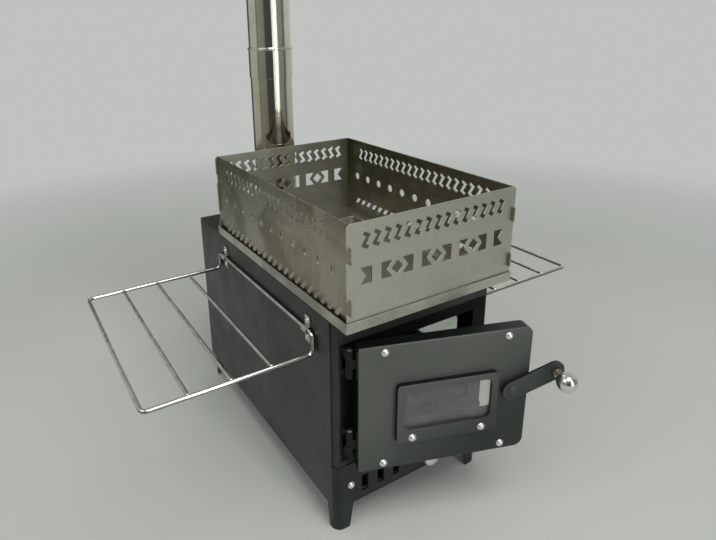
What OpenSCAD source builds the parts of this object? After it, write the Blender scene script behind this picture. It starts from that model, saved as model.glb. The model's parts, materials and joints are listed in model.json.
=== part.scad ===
// Tent wood stove: a low sheet-steel firebox on four short feet, with a glazed
// swing door, an air slider, two fold-up side racks, a lift-off cooking tray
// that carries a slot-together grill box, and a slip-fit chimney.
// X runs across the stove, Y runs from the door to the chimney, Z is up.
// The floor is z = 0 and the middle of the whole stove's outline is x = y = 0.

/* [Body] */
// Width of the firebox
body_w = 220; // [190:1:260]
// Depth of the firebox, from the front flange to the back edges of the side walls
body_d = 380; // [360:1:460]
// Height of the firebox without its feet
body_h = 235; // [225:1:280]
// Thickness of the walls, front frame, skirt and floor
sheet = 1.5; // [1:0.1:2]
// Thickness of the top plate
top_sheet = 2; // [1.5:0.1:3]
// Rounding of the upright corners at the skirt
corner_r = 8; // [5:0.5:10]
// Depth of the flange that the top plate folds down over the front
top_flange_h = 27; // [15:1:30]
// Height of the skirt below the door
skirt_h = 55; // [50:1:60]
// How far the front frame and the rear wall sit behind the side walls' edges
frame_recess = 1.5; // [1.5:0.1:2.5]
// Distance of the stoking opening from the sides of the body
opening_side = 26; // [23:1:36]
// Height of the stoking opening
opening_h = 115; // [90:1:120]
// Height of the stoking opening's sill above the firebox floor
opening_sill = 78; // [66:1:84]

/* [Feet] */
// Clear height under the firebox
foot_h = 34; // [25:1:60]
// Width of a foot's front where it leaves the body
foot_w = 24; // [19:0.5:26]
// Depth of a foot's side where it leaves the body
foot_deep = 18.5; // [18:0.5:26]
// How much narrower each side of a foot is at the floor
foot_taper = 5.5; // [0:0.5:6]
// Outer rounding of a foot's corner
foot_curl = 11; // [5:0.5:11.5]
// Thickness of a foot
foot_sheet = 2; // [1.5:0.1:3]
// How far a foot reaches up inside the body
foot_inside = 34; // [32:1:38]

/* [Air inlet] */
// Width of an air slot
vent_w = 9; // [6:0.5:9]
// Height of an air slot
vent_h = 22; // [14:1:24]
// Height of the air slots' middle above the body's lower edge
vent_mid = 21; // [19:0.5:22]
// Distance of the first air slot from the left side of the body
vent_from_side = 40; // [39:1:44]
// Distance of the last air slot from the right side of the body
vent_to_side = 48; // [48:1:54]
// How far the shut slider laps over an air slot's edges
slot_lap = 0.5; // [0.3:0.1:0.8]
// Thickness of the air slider
slider_sheet = 1.2; // [1:0.1:1.5]
// Diameter of the slider's knob
slider_knob_d = 22; // [14:1:24]
// Height of the slider's knob above the body's lower edge
slider_knob_up = 19; // [16:1:24]
// Place of the slider's knob, right of the middle
slider_knob_x = 21; // [14:1:22]

/* [Grate] */
// Distance of the fire grate from the sides of the body
grate_side = 28; // [25:1:38]
// Thickness of the fire grate
grate_t = 3; // [2:0.5:5]
// Height of the grate's underside above the body's lower edge
grate_up = 60; // [52:1:64]
// Width of a slot in the grate
grate_slot_w = 8; // [5:0.5:10]
// Number of slots across the grate
grate_slots = 8; // [4:1:9]

/* [Door] */
// Distance of the door's latch edge from the right side of the body
door_from_side = 8; // [5:0.5:12]
// Height of the door
door_h = 151.5; // [140:0.5:156]
// Depth of the door's folded edge
door_t = 15; // [12:0.5:18]
// Thickness of the door's sheet
door_sheet = 1.5; // [1:0.1:2]
// Height of the door's lower edge above the body's lower edge
door_up = 58.5; // [56:0.5:62]
// Gap between the shut door and the front frame's plane
door_gap = 1.8; // [1:0.1:3]
// How far the door stands open at rest
door_open = 18.8; // [0:0.1:60]
// Rounding of the door's corners on the latch side
door_corner_r = 10; // [4:0.5:14]

/* [Hinges] */
// Distance of the hinge pins from the left side of the body
hinge_from_side = 14; // [12:0.5:15]
// Distance of the hinge pins in front of the body
hinge_front = 8; // [7:0.5:10]
// Distance between the hinge pins and the door's edge
hinge_set = 7; // [6:0.5:9]
// Length of a hinge
hinge_len = 32; // [24:1:36]
// Diameter of a hinge pin
hinge_pin_d = 4; // [3:0.5:5]
// Outer diameter of a hinge knuckle
hinge_knuckle_d = 8; // [7:0.5:9]
// Height of the upper hinge's middle above the door's lower edge
hinge_high = 131.5; // [110:0.5:134]
// Height of the lower hinge's middle above the door's lower edge
hinge_low = 33.5; // [20:0.5:45]

/* [Door window] */
// Distance of the window frame from the door's latch edge
bezel_from_latch = 39; // [37:1:50]
// Height of the raised window frame
bezel_h = 71; // [60:1:76]
// How far the window frame stands off the door
bezel_rise = 6.5; // [6:0.1:9]
// Distance of the window frame from the door's hinge edge
bezel_from_hinge = 40; // [30:1:42]
// Height of the window frame's lower edge above the door's lower edge
bezel_up = 34.5; // [24:0.5:40]
// Width of the window frame's border beside the glass
glass_side = 7.5; // [6:0.5:12]
// Height of the visible glass
glass_h = 48; // [34:1:50]
// Height of the visible glass above the window frame's lower edge
glass_up = 16; // [15.5:0.5:17]
// Rounding of the visible glass's corners
glass_corner_r = 7; // [3:0.5:12]
// Thickness of the door's glass
glass_t = 3; // [2.5:0.1:4.4]

/* [Latch] */
// Distance of the latch's pivot from the door's latch edge
latch_from_edge = 22.5; // [19:0.5:25]
// Height of the latch's pivot above the door's lower edge
latch_up = 80; // [70:0.5:90]
// Length of the latch bar between its pivot and its knob
latch_len = 51.5; // [44:0.5:56]
// Width of the latch bar
latch_w = 22; // [16:0.5:23]
// Thickness of the latch bar
latch_t = 3.5; // [2:0.1:5]
// Angle of the latch bar above level at rest
latch_raise = 19.3; // [17:0.1:40]
// Gap that the spacer keeps between the door and the latch bar
latch_stand = 4; // [3.5:0.1:6]
// Diameter of the latch's pivot
latch_pivot_d = 6; // [5:0.5:8]
// Diameter of the ball knob
knob_d = 22; // [16:0.5:28]
// Height of the ball knob's middle above the latch bar's front face
knob_stand = 20.5; // [17:0.5:26]

/* [Side window] */
// Width of the visible side glass
side_glass_w = 110; // [60:1:140]
// Height of the visible side glass
side_glass_h = 62; // [40:1:66]
// Distance of the side glass behind the front of the body
side_glass_back = 50; // [48:1:70]
// Height of the side glass above the body's lower edge
side_glass_up = 94; // [90:1:98]
// Width of the side window frame's border
side_border = 12; // [10:0.5:13]

/* [Chimney] */
// Outer diameter of the lower pipe
pipe_d = 60; // [50:1:64]
// Wall of the pipes
pipe_wall = 0.8; // [0.5:0.1:1.5]
// Distance between the pipe's axis and the back of the body
pipe_from_back = 43; // [42:1:46]
// Length of a pipe section
pipe_len = 250; // [200:5:400]
// How deep a pipe section slips over the one below it
pipe_overlap = 38; // [25:1:50]
// Height of the collar above the top plate
collar_h = 16; // [10:1:24]
// Wall of the collar
collar_wall = 1.5; // [1:0.1:2]

/* [Cooking tray] */
// How far the tray stands out over each side of the body
tray_side = 1; // [0:0.5:3]
// How far the tray overhangs the front of the body
tray_front = 26; // [10:1:40]
// Gap between the tray's rear edge and the chimney's collar
tray_collar_gap = 2.3; // [2:0.1:20]
// Height of the tray's rim above its floor
tray_rim = 10; // [6:0.5:16]
// Thickness of the tray's sheet
tray_sheet = 1; // [0.8:0.1:1.5]
// Distance of the well from the sides of the tray
well_side = 25; // [20:1:40]
// Distance between the front of the body and the well
well_from_front = 22; // [16:1:40]
// Distance between the well and the tray's rear edge
well_from_back = 48; // [40:1:80]
// Depth of the well
well_depth = 12; // [6:0.5:16]

/* [Grill box] */
// Gap between the grill box and the tray's rim at the sides
box_side_gap = 0.3; // [0.2:0.1:2]
// Height of the grill box above the tray's floor
box_h = 109; // [100:1:130]
// Thickness of the grill box's panels
box_sheet = 1.5; // [1:0.1:2]
// Gap between the grill box and the tray's rim, front and back
box_in_tray = 2; // [2:0.1:3]
// How far the short panels run past the long panels
box_overhang = 2.6; // [2:0.1:4]
// How far an ear stands out of its notch
ear_out = 3.5; // [2.5:0.1:4]
// Height of an ear's neck
ear_neck = 12; // [8:0.5:14]
// Height of an ear's head
ear_head = 16; // [12:0.5:18]
// Height of the lower ears' middle above the panel's foot
ear_low = 25; // [20:0.5:28]
// Height of the upper ears' middle above the panel's foot
ear_high = 78; // [70:0.5:82]

/* [Cut-out patterns] */
// Width of a zigzag's line
cut_w = 3.9; // [2:0.1:4]
// Height of a zigzag
zig_h = 18.8; // [12:0.2:20]
// Width of a zigzag
zig_w = 9.4; // [6:0.2:9.6]
// Spacing of the zigzags
zig_pitch = 12.5; // [12:0.1:13]
// Height of the zigzag row above the panel's foot
zig_up = 90; // [86:0.5:92]
// Height of the lower motif row above the panel's foot
motif_up = 54.5; // [50:0.5:58]
// Height of a lower motif
motif_h = 18; // [12:0.5:20]
// Spacing of the motif groups
motif_pitch = 50; // [48:0.5:52]
// Width of a notched block in a motif
block_w = 13.5; // [9:0.5:14]
// Width of a notched block at the bottom of its notch
block_bar = 6.5; // [3:0.5:8]
// Width and height of a motif's diamond
diamond_w = 14.5; // [10:0.5:16]
// Diameter of a round hole in the long panels
hole_d = 10; // [6:0.5:14]
// Spacing of the round holes
hole_pitch = 26.8; // [25:0.1:27.5]
// Width of a slanted slot
slant_w = 7.5; // [5:0.5:8]
// Height of a slanted slot
slant_h = 11; // [5:0.5:12]
// Lean of a slanted slot, sideways for each unit of height
slant_lean = 0.8; // [0:0.05:0.9]
// Height of the slanted slots above the panel's foot
slant_up = 9; // [6:0.5:14]
// Spacing of the slanted slots
slant_pitch = 13.75; // [13:0.05:14]

/* [Side racks] */
// Diameter of the rack wire
wire_d = 4.6; // [3:0.1:5]
// Reach of a rack from the side of the body
rack_reach = 184; // [120:1:220]
// Distance of the rack's front wire behind the front of the body
rack_front = 36; // [30:1:60]
// Distance of the rack's rear wire in front of the back of the body
rack_back = 80; // [60:1:120]
// Height of the rack's hinge rod above the body's lower edge
rack_up = 206; // [190:1:212]
// Drop of the rack's wires below the hinge rod
rack_drop = 23; // [16:1:30]
// Spacing of the rack's cross wires
rack_pitch = 44.5; // [30:0.5:46]
// Rounding of the rack's bends
bend_r = 7; // [6:0.5:10]
// Width of a strap that holds the hinge rod
strap_w = 10; // [8:1:16]
// Distance of the front strap's middle behind the rack's front wire
strap_front = 14; // [13:1:30]
// Distance of the rear strap's middle in front of the rack's rear wire
strap_back = 20; // [14:1:40]
// Height of each of a strap's ears
strap_ear = 12; // [10:0.5:16]

/* [Fasteners] */
// Diameter of a large rivet's head
rivet_d = 9; // [7:0.5:10]
// Height of a large rivet's head
rivet_h = 3; // [2:0.1:3.2]
// Diameter of a small rivet's head
small_rivet_d = 6; // [5:0.5:8]
// Height of a small rivet's head
small_rivet_h = 2; // [1.5:0.1:2.5]
// Clearance round a rivet's shank
shank_fit = 0.05; // [0.02:0.01:0.1]

/* [Hidden] */
$fn = 48;

// running gap between pieces that move past each other
gap = 0.3;
// gap in which a pipe or a pin turns or slides
slip = 0.2;
pin_slip = 0.05;
// how far a cutting shape runs past the face that it opens
past = 1;

// the shank of every rivet
shank_d = 4;
small_shank_d = 3;

// levels of the body
body_z = foot_h;
body_top = body_z + body_h;
half_w = body_w / 2;
opening_w = body_w - 2 * opening_side;
skirt_top = body_z + skirt_h;
frame_half = half_w - sheet - slip;
frame_bend = corner_r - sheet;
frame_return = 18;
frame_bottom = skirt_top - 9;
frame_top = body_top - top_sheet;
sill_z = body_z + opening_sill;
flange_half = half_w - corner_r - 1;

// the feet
foot_half = half_w - sheet - slip;
foot_bend = max(foot_curl, corner_r - sheet - slip);
foot_rivet_from_side = 21;
foot_rivet_in = half_w - foot_rivet_from_side;
foot_tab = foot_rivet_from_side + 6;
foot_rivet_up = 26;

// the floor plate
floor_z = body_z + 2;
floor_lip = 10;
floor_edge = half_w - sheet - 0.1;
floor_back = body_d - frame_recess - sheet - 0.1;

// the air inlet
vent_z = body_z + vent_mid;
vent_pitch = (body_w - vent_from_side - vent_to_side) / 6;
vent_places = [for (i = [0, 1, 2, 5, 6]) vent_from_side - half_w + i * vent_pitch];
slider_travel = vent_w + 2 * slot_lap;
slider_z0 = vent_z - vent_h / 2 - 2.7;
slider_z1 = vent_z + vent_h / 2 + 2.7;
slider_x0 = vent_places[0] + vent_w / 2 + slot_lap;
slider_x1 = vent_places[4] + vent_w / 2 + slot_lap + slider_travel;
slider_y = sheet + gap;
guide_x0 = slider_x0 - slider_travel;
guide_x1 = slider_x1;
guide_grip = 3.5;
guide_block = 3;
slider_stem_d = 6;
slider_knob_t = 8;
slider_knob_z = body_z + slider_knob_up;

// the grate
grate_w = body_w - 2 * grate_side;
grate_z = body_z + grate_up;
grate_front = 24;
grate_back = body_d - 24;
rail_lip = 14;
rail_grip = 6;

// the door, in its shut pose
hinge_x = half_w - hinge_from_side;
door_x0 = -hinge_x + hinge_set;
door_x1 = half_w - door_from_side;
door_w = door_x1 - door_x0;
door_z0 = body_z + door_up;
door_z1 = door_z0 + door_h;
door_face = -door_gap - door_t;
liner_t = 1.2;
liner_fit = 0.4;
liner_y = -door_gap - 1 - liner_t;
// how far the shield's opening reaches past the glass at each end
liner_wider = 12;
hinge_side_r = 1.5;
door_rivet_in = 27.75;
door_rivet_edge = 8;
leaf_t = 1.5;
hinge_zs = [door_z0 + hinge_low - hinge_len / 2, door_z0 + hinge_high - hinge_len / 2];
knuckle_third = hinge_len / 3;

// the door's window
bezel_x0 = door_x0 + bezel_from_hinge;
bezel_w = door_w - bezel_from_hinge - bezel_from_latch;
glass_w = bezel_w - 2 * glass_side;
bezel_z0 = door_z0 + bezel_up;
bezel_sheet = 1.2;
glass_x0 = bezel_x0 + (bezel_w - glass_w) / 2;
glass_z0 = bezel_z0 + glass_up;
glass_margin = 4;
// how much larger than the seen glass the pan's opening is, each side
pan_wider = 1.5;
gasket_margin = 3;
gasket_t = bezel_rise - bezel_sheet - glass_t - 0.1;
window_rivet_in = 17;
window_rivet_up = 6;

// the latch
latch_x = door_x1 - latch_from_edge;
latch_z = door_z0 + latch_up;
latch_y = door_face - latch_stand;
latch_head_d = 13;
latch_head_h = 2.5;
spacer_d = 15;
nut_d = 11;
nut_h = 5;
stem_d = 6;
knob_r = knob_d / 2;
keeper_t = 2;
keeper_room = 1.2;
keeper_y1 = 28;
keeper_slot_z = latch_z - latch_w / 2 - 0.6;
keeper_lip = 8.5;
keeper_below = 14;

// the side window, on the right wall
side_y0 = side_glass_back;
side_z0 = body_z + side_glass_up;
side_rise = 6.5;
side_sheet = 1.2;

// the chimney
pipe_r = pipe_d / 2;
pipe_y = body_d - pipe_from_back;
pipe_foot = body_top - 6;
pipe_joint = pipe_foot + pipe_len - pipe_overlap;
socket_r = pipe_r + slip + pipe_wall;
bead_r = 1.8;
bead_z = pipe_joint + pipe_overlap + bead_r + 0.4;
pipe_top = pipe_joint + pipe_len + pipe_overlap;
collar_r = pipe_r + slip + collar_wall;
collar_rim = 1;

// the tray and the grill box
tray_z = body_top + gap;
tray_floor = tray_z + tray_sheet;
tray_wall = 1.6;
tray_w = body_w + 2 * tray_side;
tray_back = pipe_y - collar_r - collar_rim - tray_collar_gap;
well_w = tray_w - 2 * well_side;
well_l = tray_back - well_from_front - well_from_back;
well_fit = 1.5;
well_r = 8;
panel_foot = tray_floor + gap;
box_y0 = -tray_front + box_in_tray;
box_y1 = tray_back - box_in_tray - 1;
box_mid = (box_y0 + box_y1) / 2;
box_w = tray_w - 2 * (tray_wall + box_side_gap);
long_x = box_w / 2 - box_overhang;
notch_fit = 0.3;
ear_levels = [ear_low, ear_high];
panel_chamfer = 3;
motif_half = 19.5;

// the side racks
wire_r = wire_d / 2;
rod_x = half_w + wire_r + 0.4;
rod_z = body_z + rack_up;
rack_y0 = rack_front;
rack_y1 = body_d - rack_back;
rack_l = rack_y1 - rack_y0;
rack_z = rod_z - rack_drop;
rack_out = half_w + rack_reach;
strap_t = 1.25;
strap_fit = 0.25;
strap_ys = [rack_y0 + strap_front, rack_y1 - strap_back];

// the foremost point of the whole stove is the ball knob of the open door
knob_x = latch_x + latch_len * cos(latch_raise);
knob_y = latch_y - latch_t - knob_stand;
front_most = -hinge_front - (knob_x + hinge_x) * sin(door_open)
    + (knob_y + hinge_front) * cos(door_open) - knob_r;
mid_y = (front_most + body_d) / 2;

// moves everything so that the middle of the outline stands on the origin
module place() {
    translate([0, -mid_y, 0]) children();
}

// carries what belongs to the door, drawn shut, to the door's open pose
module on_door() {
    place() translate([-hinge_x, -hinge_front, 0]) rotate([0, 0, -door_open])
        translate([hinge_x, hinge_front, 0]) children();
}

// carries what belongs to the latch, drawn level and pointing along +X from its pivot
module on_latch() {
    on_door() translate([latch_x, latch_y, latch_z]) rotate([0, -latch_raise, 0]) children();
}

// a flat shape drawn in x and z, as a sheet whose front face is at y
module sheet_facing_front(y, t) {
    translate([0, y + t, 0]) rotate([90, 0, 0]) linear_extrude(t) children();
}

// a flat shape drawn in y and z, as a sheet between x and x + t
module sheet_facing_side(x, t) {
    translate([x, 0, 0]) rotate([90, 0, 90]) linear_extrude(t) children();
}

// a rectangle with round corners, from its lower left corner
module rounded(w, h, r) {
    translate([r, 0]) square([w - 2 * r, h]);
    translate([0, r]) square([w, h - 2 * r]);
    for (x = [r, w - r], y = [r, h - r]) translate([x, y]) circle(r);
}

// a line's unit normal, and the offset that keeps the width where two lines meet
function normal(from, to) = [from[1] - to[1], to[0] - from[0]] / norm(to - from);
function mitre(a, b, c) = (normal(a, b) + normal(b, c)) / (1 + normal(a, b) * normal(b, c));

// a rod along X, Y or Z from a start point
module rod_x(start, len, r) {
    translate(start) rotate([0, 90, 0]) cylinder(h = len, r = r);
}

module rod_y(start, len, r) {
    translate(start) rotate([-90, 0, 0]) cylinder(h = len, r = r);
}

module rod_z(start, len, r) {
    translate(start) cylinder(h = len, r = r);
}

// a domed rivet head on z = 0, with a shank below it
module rivet(head_d, head_h, shank, reach) {
    dome = (head_d * head_d / 4 + head_h * head_h) / (2 * head_h);
    intersection() {
        translate([0, 0, head_h - dome]) sphere(dome);
        translate([-head_d, -head_d, 0]) cube([2 * head_d, 2 * head_d, head_h + past]);
    }
    translate([0, 0, -reach]) cylinder(h = reach + past / 2, r = shank / 2);
}

// plan of a sheet end with two rounded corners and two short returns, facing -Y
module end_plan(half, y, r, back) {
    translate([-half + r, y]) square([2 * (half - r), sheet]);
    for (side = [-1, 1]) {
        translate([side * (half - r), y + r]) intersection() {
            difference() {
                circle(r);
                circle(r - sheet);
            }
            translate([side > 0 ? 0 : -r, -r]) square(r);
        }
        if (back > r) translate([side > 0 ? half - sheet : -half, y + r]) square([sheet, back - r]);
    }
}

/* ---- the firebox ---- */

// outline of a side wall: it stops where the skirt's and the front frame's rounded corners begin
module wall_outline() {
    translate([corner_r, body_z]) square([body_d - corner_r, frame_top - body_z]);
}

module strap_holes(side) {
    for (y = strap_ys, up = [-1, 1])
        rod_x([side * half_w - 5, y, rod_z + up * strap_rivet_off()], 10, small_shank_d / 2 + shank_fit);
}

function strap_rivet_off() = wire_r + strap_fit + strap_t + strap_ear / 2;

module left_wall() {
    color("#33403a") place() difference() {
        sheet_facing_side(-half_w, sheet) wall_outline();
        strap_holes(-1);
    }
}

module right_wall() {
    color("#33403a") place() difference() {
        sheet_facing_side(half_w - sheet, sheet) wall_outline();
        strap_holes(1);
        sheet_facing_side(half_w - sheet - past, sheet + 2 * past)
            translate([side_y0, side_z0]) rounded(side_glass_w, side_glass_h, glass_corner_r);
        side_window_holes();
    }
}

// the rear wall is folded like the front frame and stands the other way round
module rear_wall() {
    color("#303b36") place() difference() {
        translate([0, body_d, body_z]) mirror([0, 1, 0])
            linear_extrude(frame_top - body_z) end_plan(frame_half, frame_recess, frame_bend, frame_return);
        for (side = [-1, 1])
            rod_y([side * foot_rivet_in, body_d - 10, body_z + foot_rivet_up], 20, shank_d / 2 + shank_fit);
        // the folded corners stop above the feet
        for (x = [-frame_half - past, frame_half - frame_bend])
            translate([x, body_d - frame_recess - frame_return - past, body_z - past])
                cube([frame_bend + past, frame_return + 2 * past, foot_inside + past + gap]);
    }
}

module front_frame() {
    color("#2c3632") place() difference() {
        translate([0, 0, frame_bottom]) linear_extrude(frame_top - frame_bottom)
            end_plan(frame_half, frame_recess, frame_bend, frame_return);
        translate([-opening_w / 2, frame_recess - past, sill_z])
            cube([opening_w, sheet + 2 * past, opening_h]);
    }
}

module front_skirt() {
    color("#33403a") place() difference() {
        translate([0, 0, body_z]) linear_extrude(skirt_h) end_plan(half_w, 0, corner_r, corner_r);
        for (x = vent_places)
            sheet_facing_front(-past, sheet + 2 * past)
                translate([x - vent_w / 2, vent_z - vent_h / 2]) rounded(vent_w, vent_h, 1);
        sheet_facing_front(-past, sheet + 2 * past) {
            slot_r = slider_stem_d / 2 + gap;
            shut_x = slider_knob_x - slider_travel;
            translate([shut_x, slider_knob_z - slot_r]) square([slider_travel, 2 * slot_r]);
            for (x = [shut_x, slider_knob_x]) translate([x, slider_knob_z]) circle(slot_r);
        }
        for (side = [-1, 1])
            rod_y([side * foot_rivet_in, -5, body_z + foot_rivet_up], 10, shank_d / 2 + shank_fit);
    }
}

// the ash floor: turned up along the sides and the back, and notched for the feet
module floor_plate() {
    edge = floor_edge;
    back = floor_back;
    notch = foot_tab + 2;
    deep = foot_sheet + 1.6;
    // side of the square that clears the inside of a foot's rounded corner
    clear = foot_bend + 0.8 - sqrt(max(0, pow(foot_bend - foot_sheet, 2) - pow(foot_bend - deep, 2)));
    tall = sheet + floor_lip;
    color("#2a2f2d") place() difference() {
        translate([-edge, sheet + 0.1, floor_z]) cube([2 * edge, back - sheet - 0.1, tall]);
        translate([-edge + sheet, -past, floor_z + sheet])
            cube([2 * (edge - sheet), back + past - sheet, tall]);
        for (side = [-1, 1], end = [-1, 1]) {
            x = side > 0 ? edge - notch : -edge;
            y = end > 0 ? back - notch : sheet;
            translate([x - past, end > 0 ? back - deep : y - past, floor_z - past])
                cube([notch + 2 * past, deep + past, tall + 2 * past]);
            translate([side > 0 ? edge - deep : -edge - past, y - past, floor_z - past])
                cube([deep + past, notch + 2 * past, tall + 2 * past]);
            translate([
                side > 0 ? edge - clear : -edge - past, end > 0 ? back - clear : sheet - past, floor_z - past
            ]) cube([clear + past, clear + past, tall + 2 * past]);
        }
    }
}

module top_plate() {
    color("#2f3a35") place() difference() {
        union() {
            translate([-half_w, 0, frame_top]) cube([body_w, body_d, top_sheet]);
            translate([-flange_half, 0, body_top - top_flange_h]) cube([2 * flange_half, sheet, top_flange_h]);
        }
        translate([0, 0, frame_top - past]) linear_extrude(top_sheet + 2 * past)
            translate([-well_w / 2 - well_fit, well_from_front - well_fit])
            rounded(well_w + 2 * well_fit, well_l + 2 * well_fit, well_r + well_fit);
        translate([0, pipe_y, frame_top - past]) cylinder(h = top_sheet + 2 * past, r = collar_r + pin_slip);
    }
}

// a short tube through the top plate, with a rolled rim that stiffens its mouth
module flue_collar() {
    color("#2a302d") place() translate([0, pipe_y, 0]) difference() {
        union() {
            rod_z([0, 0, frame_top - 4], collar_h + top_sheet + 4, collar_r);
            rod_z([0, 0, frame_top - 4], 4, collar_r + 3);
            rod_z([0, 0, body_top + collar_h - 3], 3, collar_r + collar_rim);
        }
        rod_z([0, 0, frame_top - 4 - past], collar_h + top_sheet + 4 + 2 * past, pipe_r + slip);
    }
}

/* ---- the grate ---- */

// an angle along a side wall that carries one edge of the grate
module grate_rail(side) {
    wall = half_w - sheet;
    reach = wall - grate_w / 2 + rail_grip;
    color("#2a2f2d") place() translate([side > 0 ? wall - reach : -wall, grate_front, grate_z - sheet]) {
        cube([reach, grate_back - grate_front, sheet]);
        translate([side > 0 ? reach - sheet : 0, 0, -rail_lip])
            cube([sheet, grate_back - grate_front, rail_lip + sheet]);
    }
}

module left_grate_rail() { grate_rail(-1); }
module right_grate_rail() { grate_rail(1); }

module fire_grate() {
    len = grate_back - grate_front - 8;
    rows = 3;
    slot_l = (len - 20) / rows - 10;
    step = (grate_w - 24) / grate_slots;
    color("#3a3a38") place() translate([-grate_w / 2, grate_front + 4, grate_z]) difference() {
        linear_extrude(grate_t) rounded(grate_w, len, 6);
        translate([0, 0, -past]) linear_extrude(grate_t + 2 * past)
            for (i = [0 : grate_slots - 1], j = [0 : rows - 1])
                translate([12 + (i + 0.5) * step - grate_slot_w / 2, 15 + j * (slot_l + 10)])
                    rounded(grate_slot_w, slot_l, grate_slot_w / 2 - 0.01);
    }
}

/* ---- the feet ---- */

// what the taper takes off one free edge of a foot
module taper_cut() {
    polygon([[-foot_taper, -past], [0.1, foot_h], [past, foot_h], [past, -past]]);
}

// outline of a foot, an angle with a rounded corner
module foot_outline(across, deep) {
    difference() {
        union() {
            translate([foot_bend, 0]) square([across - foot_bend, foot_sheet]);
            translate([0, foot_bend]) square([foot_sheet, deep - foot_bend]);
            intersection() {
                translate([foot_bend, foot_bend]) circle(foot_bend);
                square(foot_bend);
            }
        }
        translate([foot_bend, foot_bend]) circle(foot_bend - foot_sheet);
    }
}

// a foot drawn for the front left corner: narrow below the body and tapered to the floor,
// with wider shoulders inside the body for the rivets
module foot() {
    difference() {
        translate([-foot_half, sheet + slip, 0]) {
            difference() {
                linear_extrude(foot_h) foot_outline(foot_w, foot_deep);
                translate([foot_w, 0, 0]) rotate([90, 0, 0])
                    translate([0, 0, -foot_tab]) linear_extrude(2 * foot_tab) taper_cut();
                translate([0, foot_deep, 0]) rotate([90, 0, 90])
                    translate([0, 0, -foot_tab]) linear_extrude(2 * foot_tab) taper_cut();
            }
            translate([0, 0, foot_h]) linear_extrude(foot_inside) foot_outline(foot_tab, foot_tab);
        }
        rod_y([-foot_rivet_in, 0, body_z + foot_rivet_up], 10, shank_d / 2 + shank_fit);
    }
}

// the rear feet stand behind the recessed rear wall
module rear_foot() {
    translate([0, body_d - frame_recess, 0]) mirror([0, 1, 0]) foot();
}

module foot_front_left() { color("#26332d") place() foot(); }
module foot_front_right() { color("#26332d") place() mirror([1, 0, 0]) foot(); }
module foot_rear_left() { color("#26332d") place() rear_foot(); }
module foot_rear_right() { color("#26332d") place() mirror([1, 0, 0]) rear_foot(); }

module foot_rivets() {
    reach = sheet + slip + foot_sheet;
    color("#d8dad8") place() for (side = [-1, 1]) {
        translate([side * foot_rivet_in, 0, body_z + foot_rivet_up]) rotate([90, 0, 0])
            rivet(rivet_d, rivet_h, shank_d, reach);
        translate([side * foot_rivet_in, body_d - frame_recess, body_z + foot_rivet_up]) rotate([-90, 0, 0])
            rivet(rivet_d, frame_recess, shank_d, reach);
    }
}

/* ---- the side window ---- */

function side_rivet_ys() = [side_y0 - side_border / 2 - 0.5, side_y0 + side_glass_w + side_border / 2 + 0.5];
function side_rivet_zs() = [side_z0 - side_border / 2 - 0.5, side_z0 + side_glass_h + side_border / 2 + 0.5];

module side_window_holes() {
    for (y = side_rivet_ys(), z = side_rivet_zs())
        rod_x([half_w - 5, y, z], 20, small_shank_d / 2 + shank_fit);
}

// a pressed frame outside the right wall, hollow behind for the glass
module side_window_frame() {
    b = side_border;
    color("#2c3632") place() difference() {
        sheet_facing_side(half_w, side_rise) translate([side_y0 - b, side_z0 - b])
            rounded(side_glass_w + 2 * b, side_glass_h + 2 * b, 4);
        sheet_facing_side(half_w - past, side_rise - side_sheet + past)
            translate([side_y0 - glass_margin - 0.5, side_z0 - glass_margin - 0.5])
            rounded(side_glass_w + 2 * glass_margin + 1, side_glass_h + 2 * glass_margin + 1, 4);
        sheet_facing_side(half_w, side_rise + past) translate([side_y0, side_z0])
            rounded(side_glass_w, side_glass_h, glass_corner_r);
        side_window_holes();
    }
}

module side_window_glass() {
    color("#7f8f8c") place() sheet_facing_side(half_w + 0.2, side_rise - side_sheet - 0.4)
        translate([side_y0 - glass_margin, side_z0 - glass_margin])
        rounded(side_glass_w + 2 * glass_margin, side_glass_h + 2 * glass_margin, 4);
}

module side_window_rivets() {
    color("#d8dad8") place() for (y = side_rivet_ys(), z = side_rivet_zs())
        translate([half_w + side_rise, y, z]) rotate([0, 90, 0])
            rivet(small_rivet_d, small_rivet_h, small_shank_d, side_rise + sheet);
}

/* ---- the hinges ---- */

// the body's leaf: a plate on the frame, a web forward of it and the two end knuckles
module hinge_leaf(z) {
    r = hinge_knuckle_d / 2;
    color("#39443f") place() difference() {
        union() {
            translate([-frame_half + frame_bend, frame_recess - leaf_t, z])
                cube([frame_half - frame_bend - hinge_x - r + leaf_t, leaf_t, hinge_len]);
            translate([-hinge_x - r, -hinge_front, z]) cube([leaf_t, hinge_front + frame_recess, hinge_len]);
            rod_z([-hinge_x, -hinge_front, z], hinge_len, r);
        }
        translate([-hinge_x - r - past, -hinge_front - r - past, z + knuckle_third])
            cube([2 * r + 2 * past, r + past + hinge_front - gap, knuckle_third]);
        rod_z([-hinge_x, -hinge_front, z - past], hinge_len + 2 * past, hinge_pin_d / 2 + pin_slip);
    }
}

module lower_hinge_leaf() { hinge_leaf(hinge_zs[0]); }
module upper_hinge_leaf() { hinge_leaf(hinge_zs[1]); }

module hinge_pins() {
    color("#c4c6c2") place() for (z = hinge_zs) {
        rod_z([-hinge_x, -hinge_front, z - 1.5], hinge_len + 1.5, hinge_pin_d / 2);
        translate([-hinge_x, -hinge_front, z + hinge_len]) rivet(hinge_knuckle_d - 1, 1.6, hinge_pin_d, past);
    }
}

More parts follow.
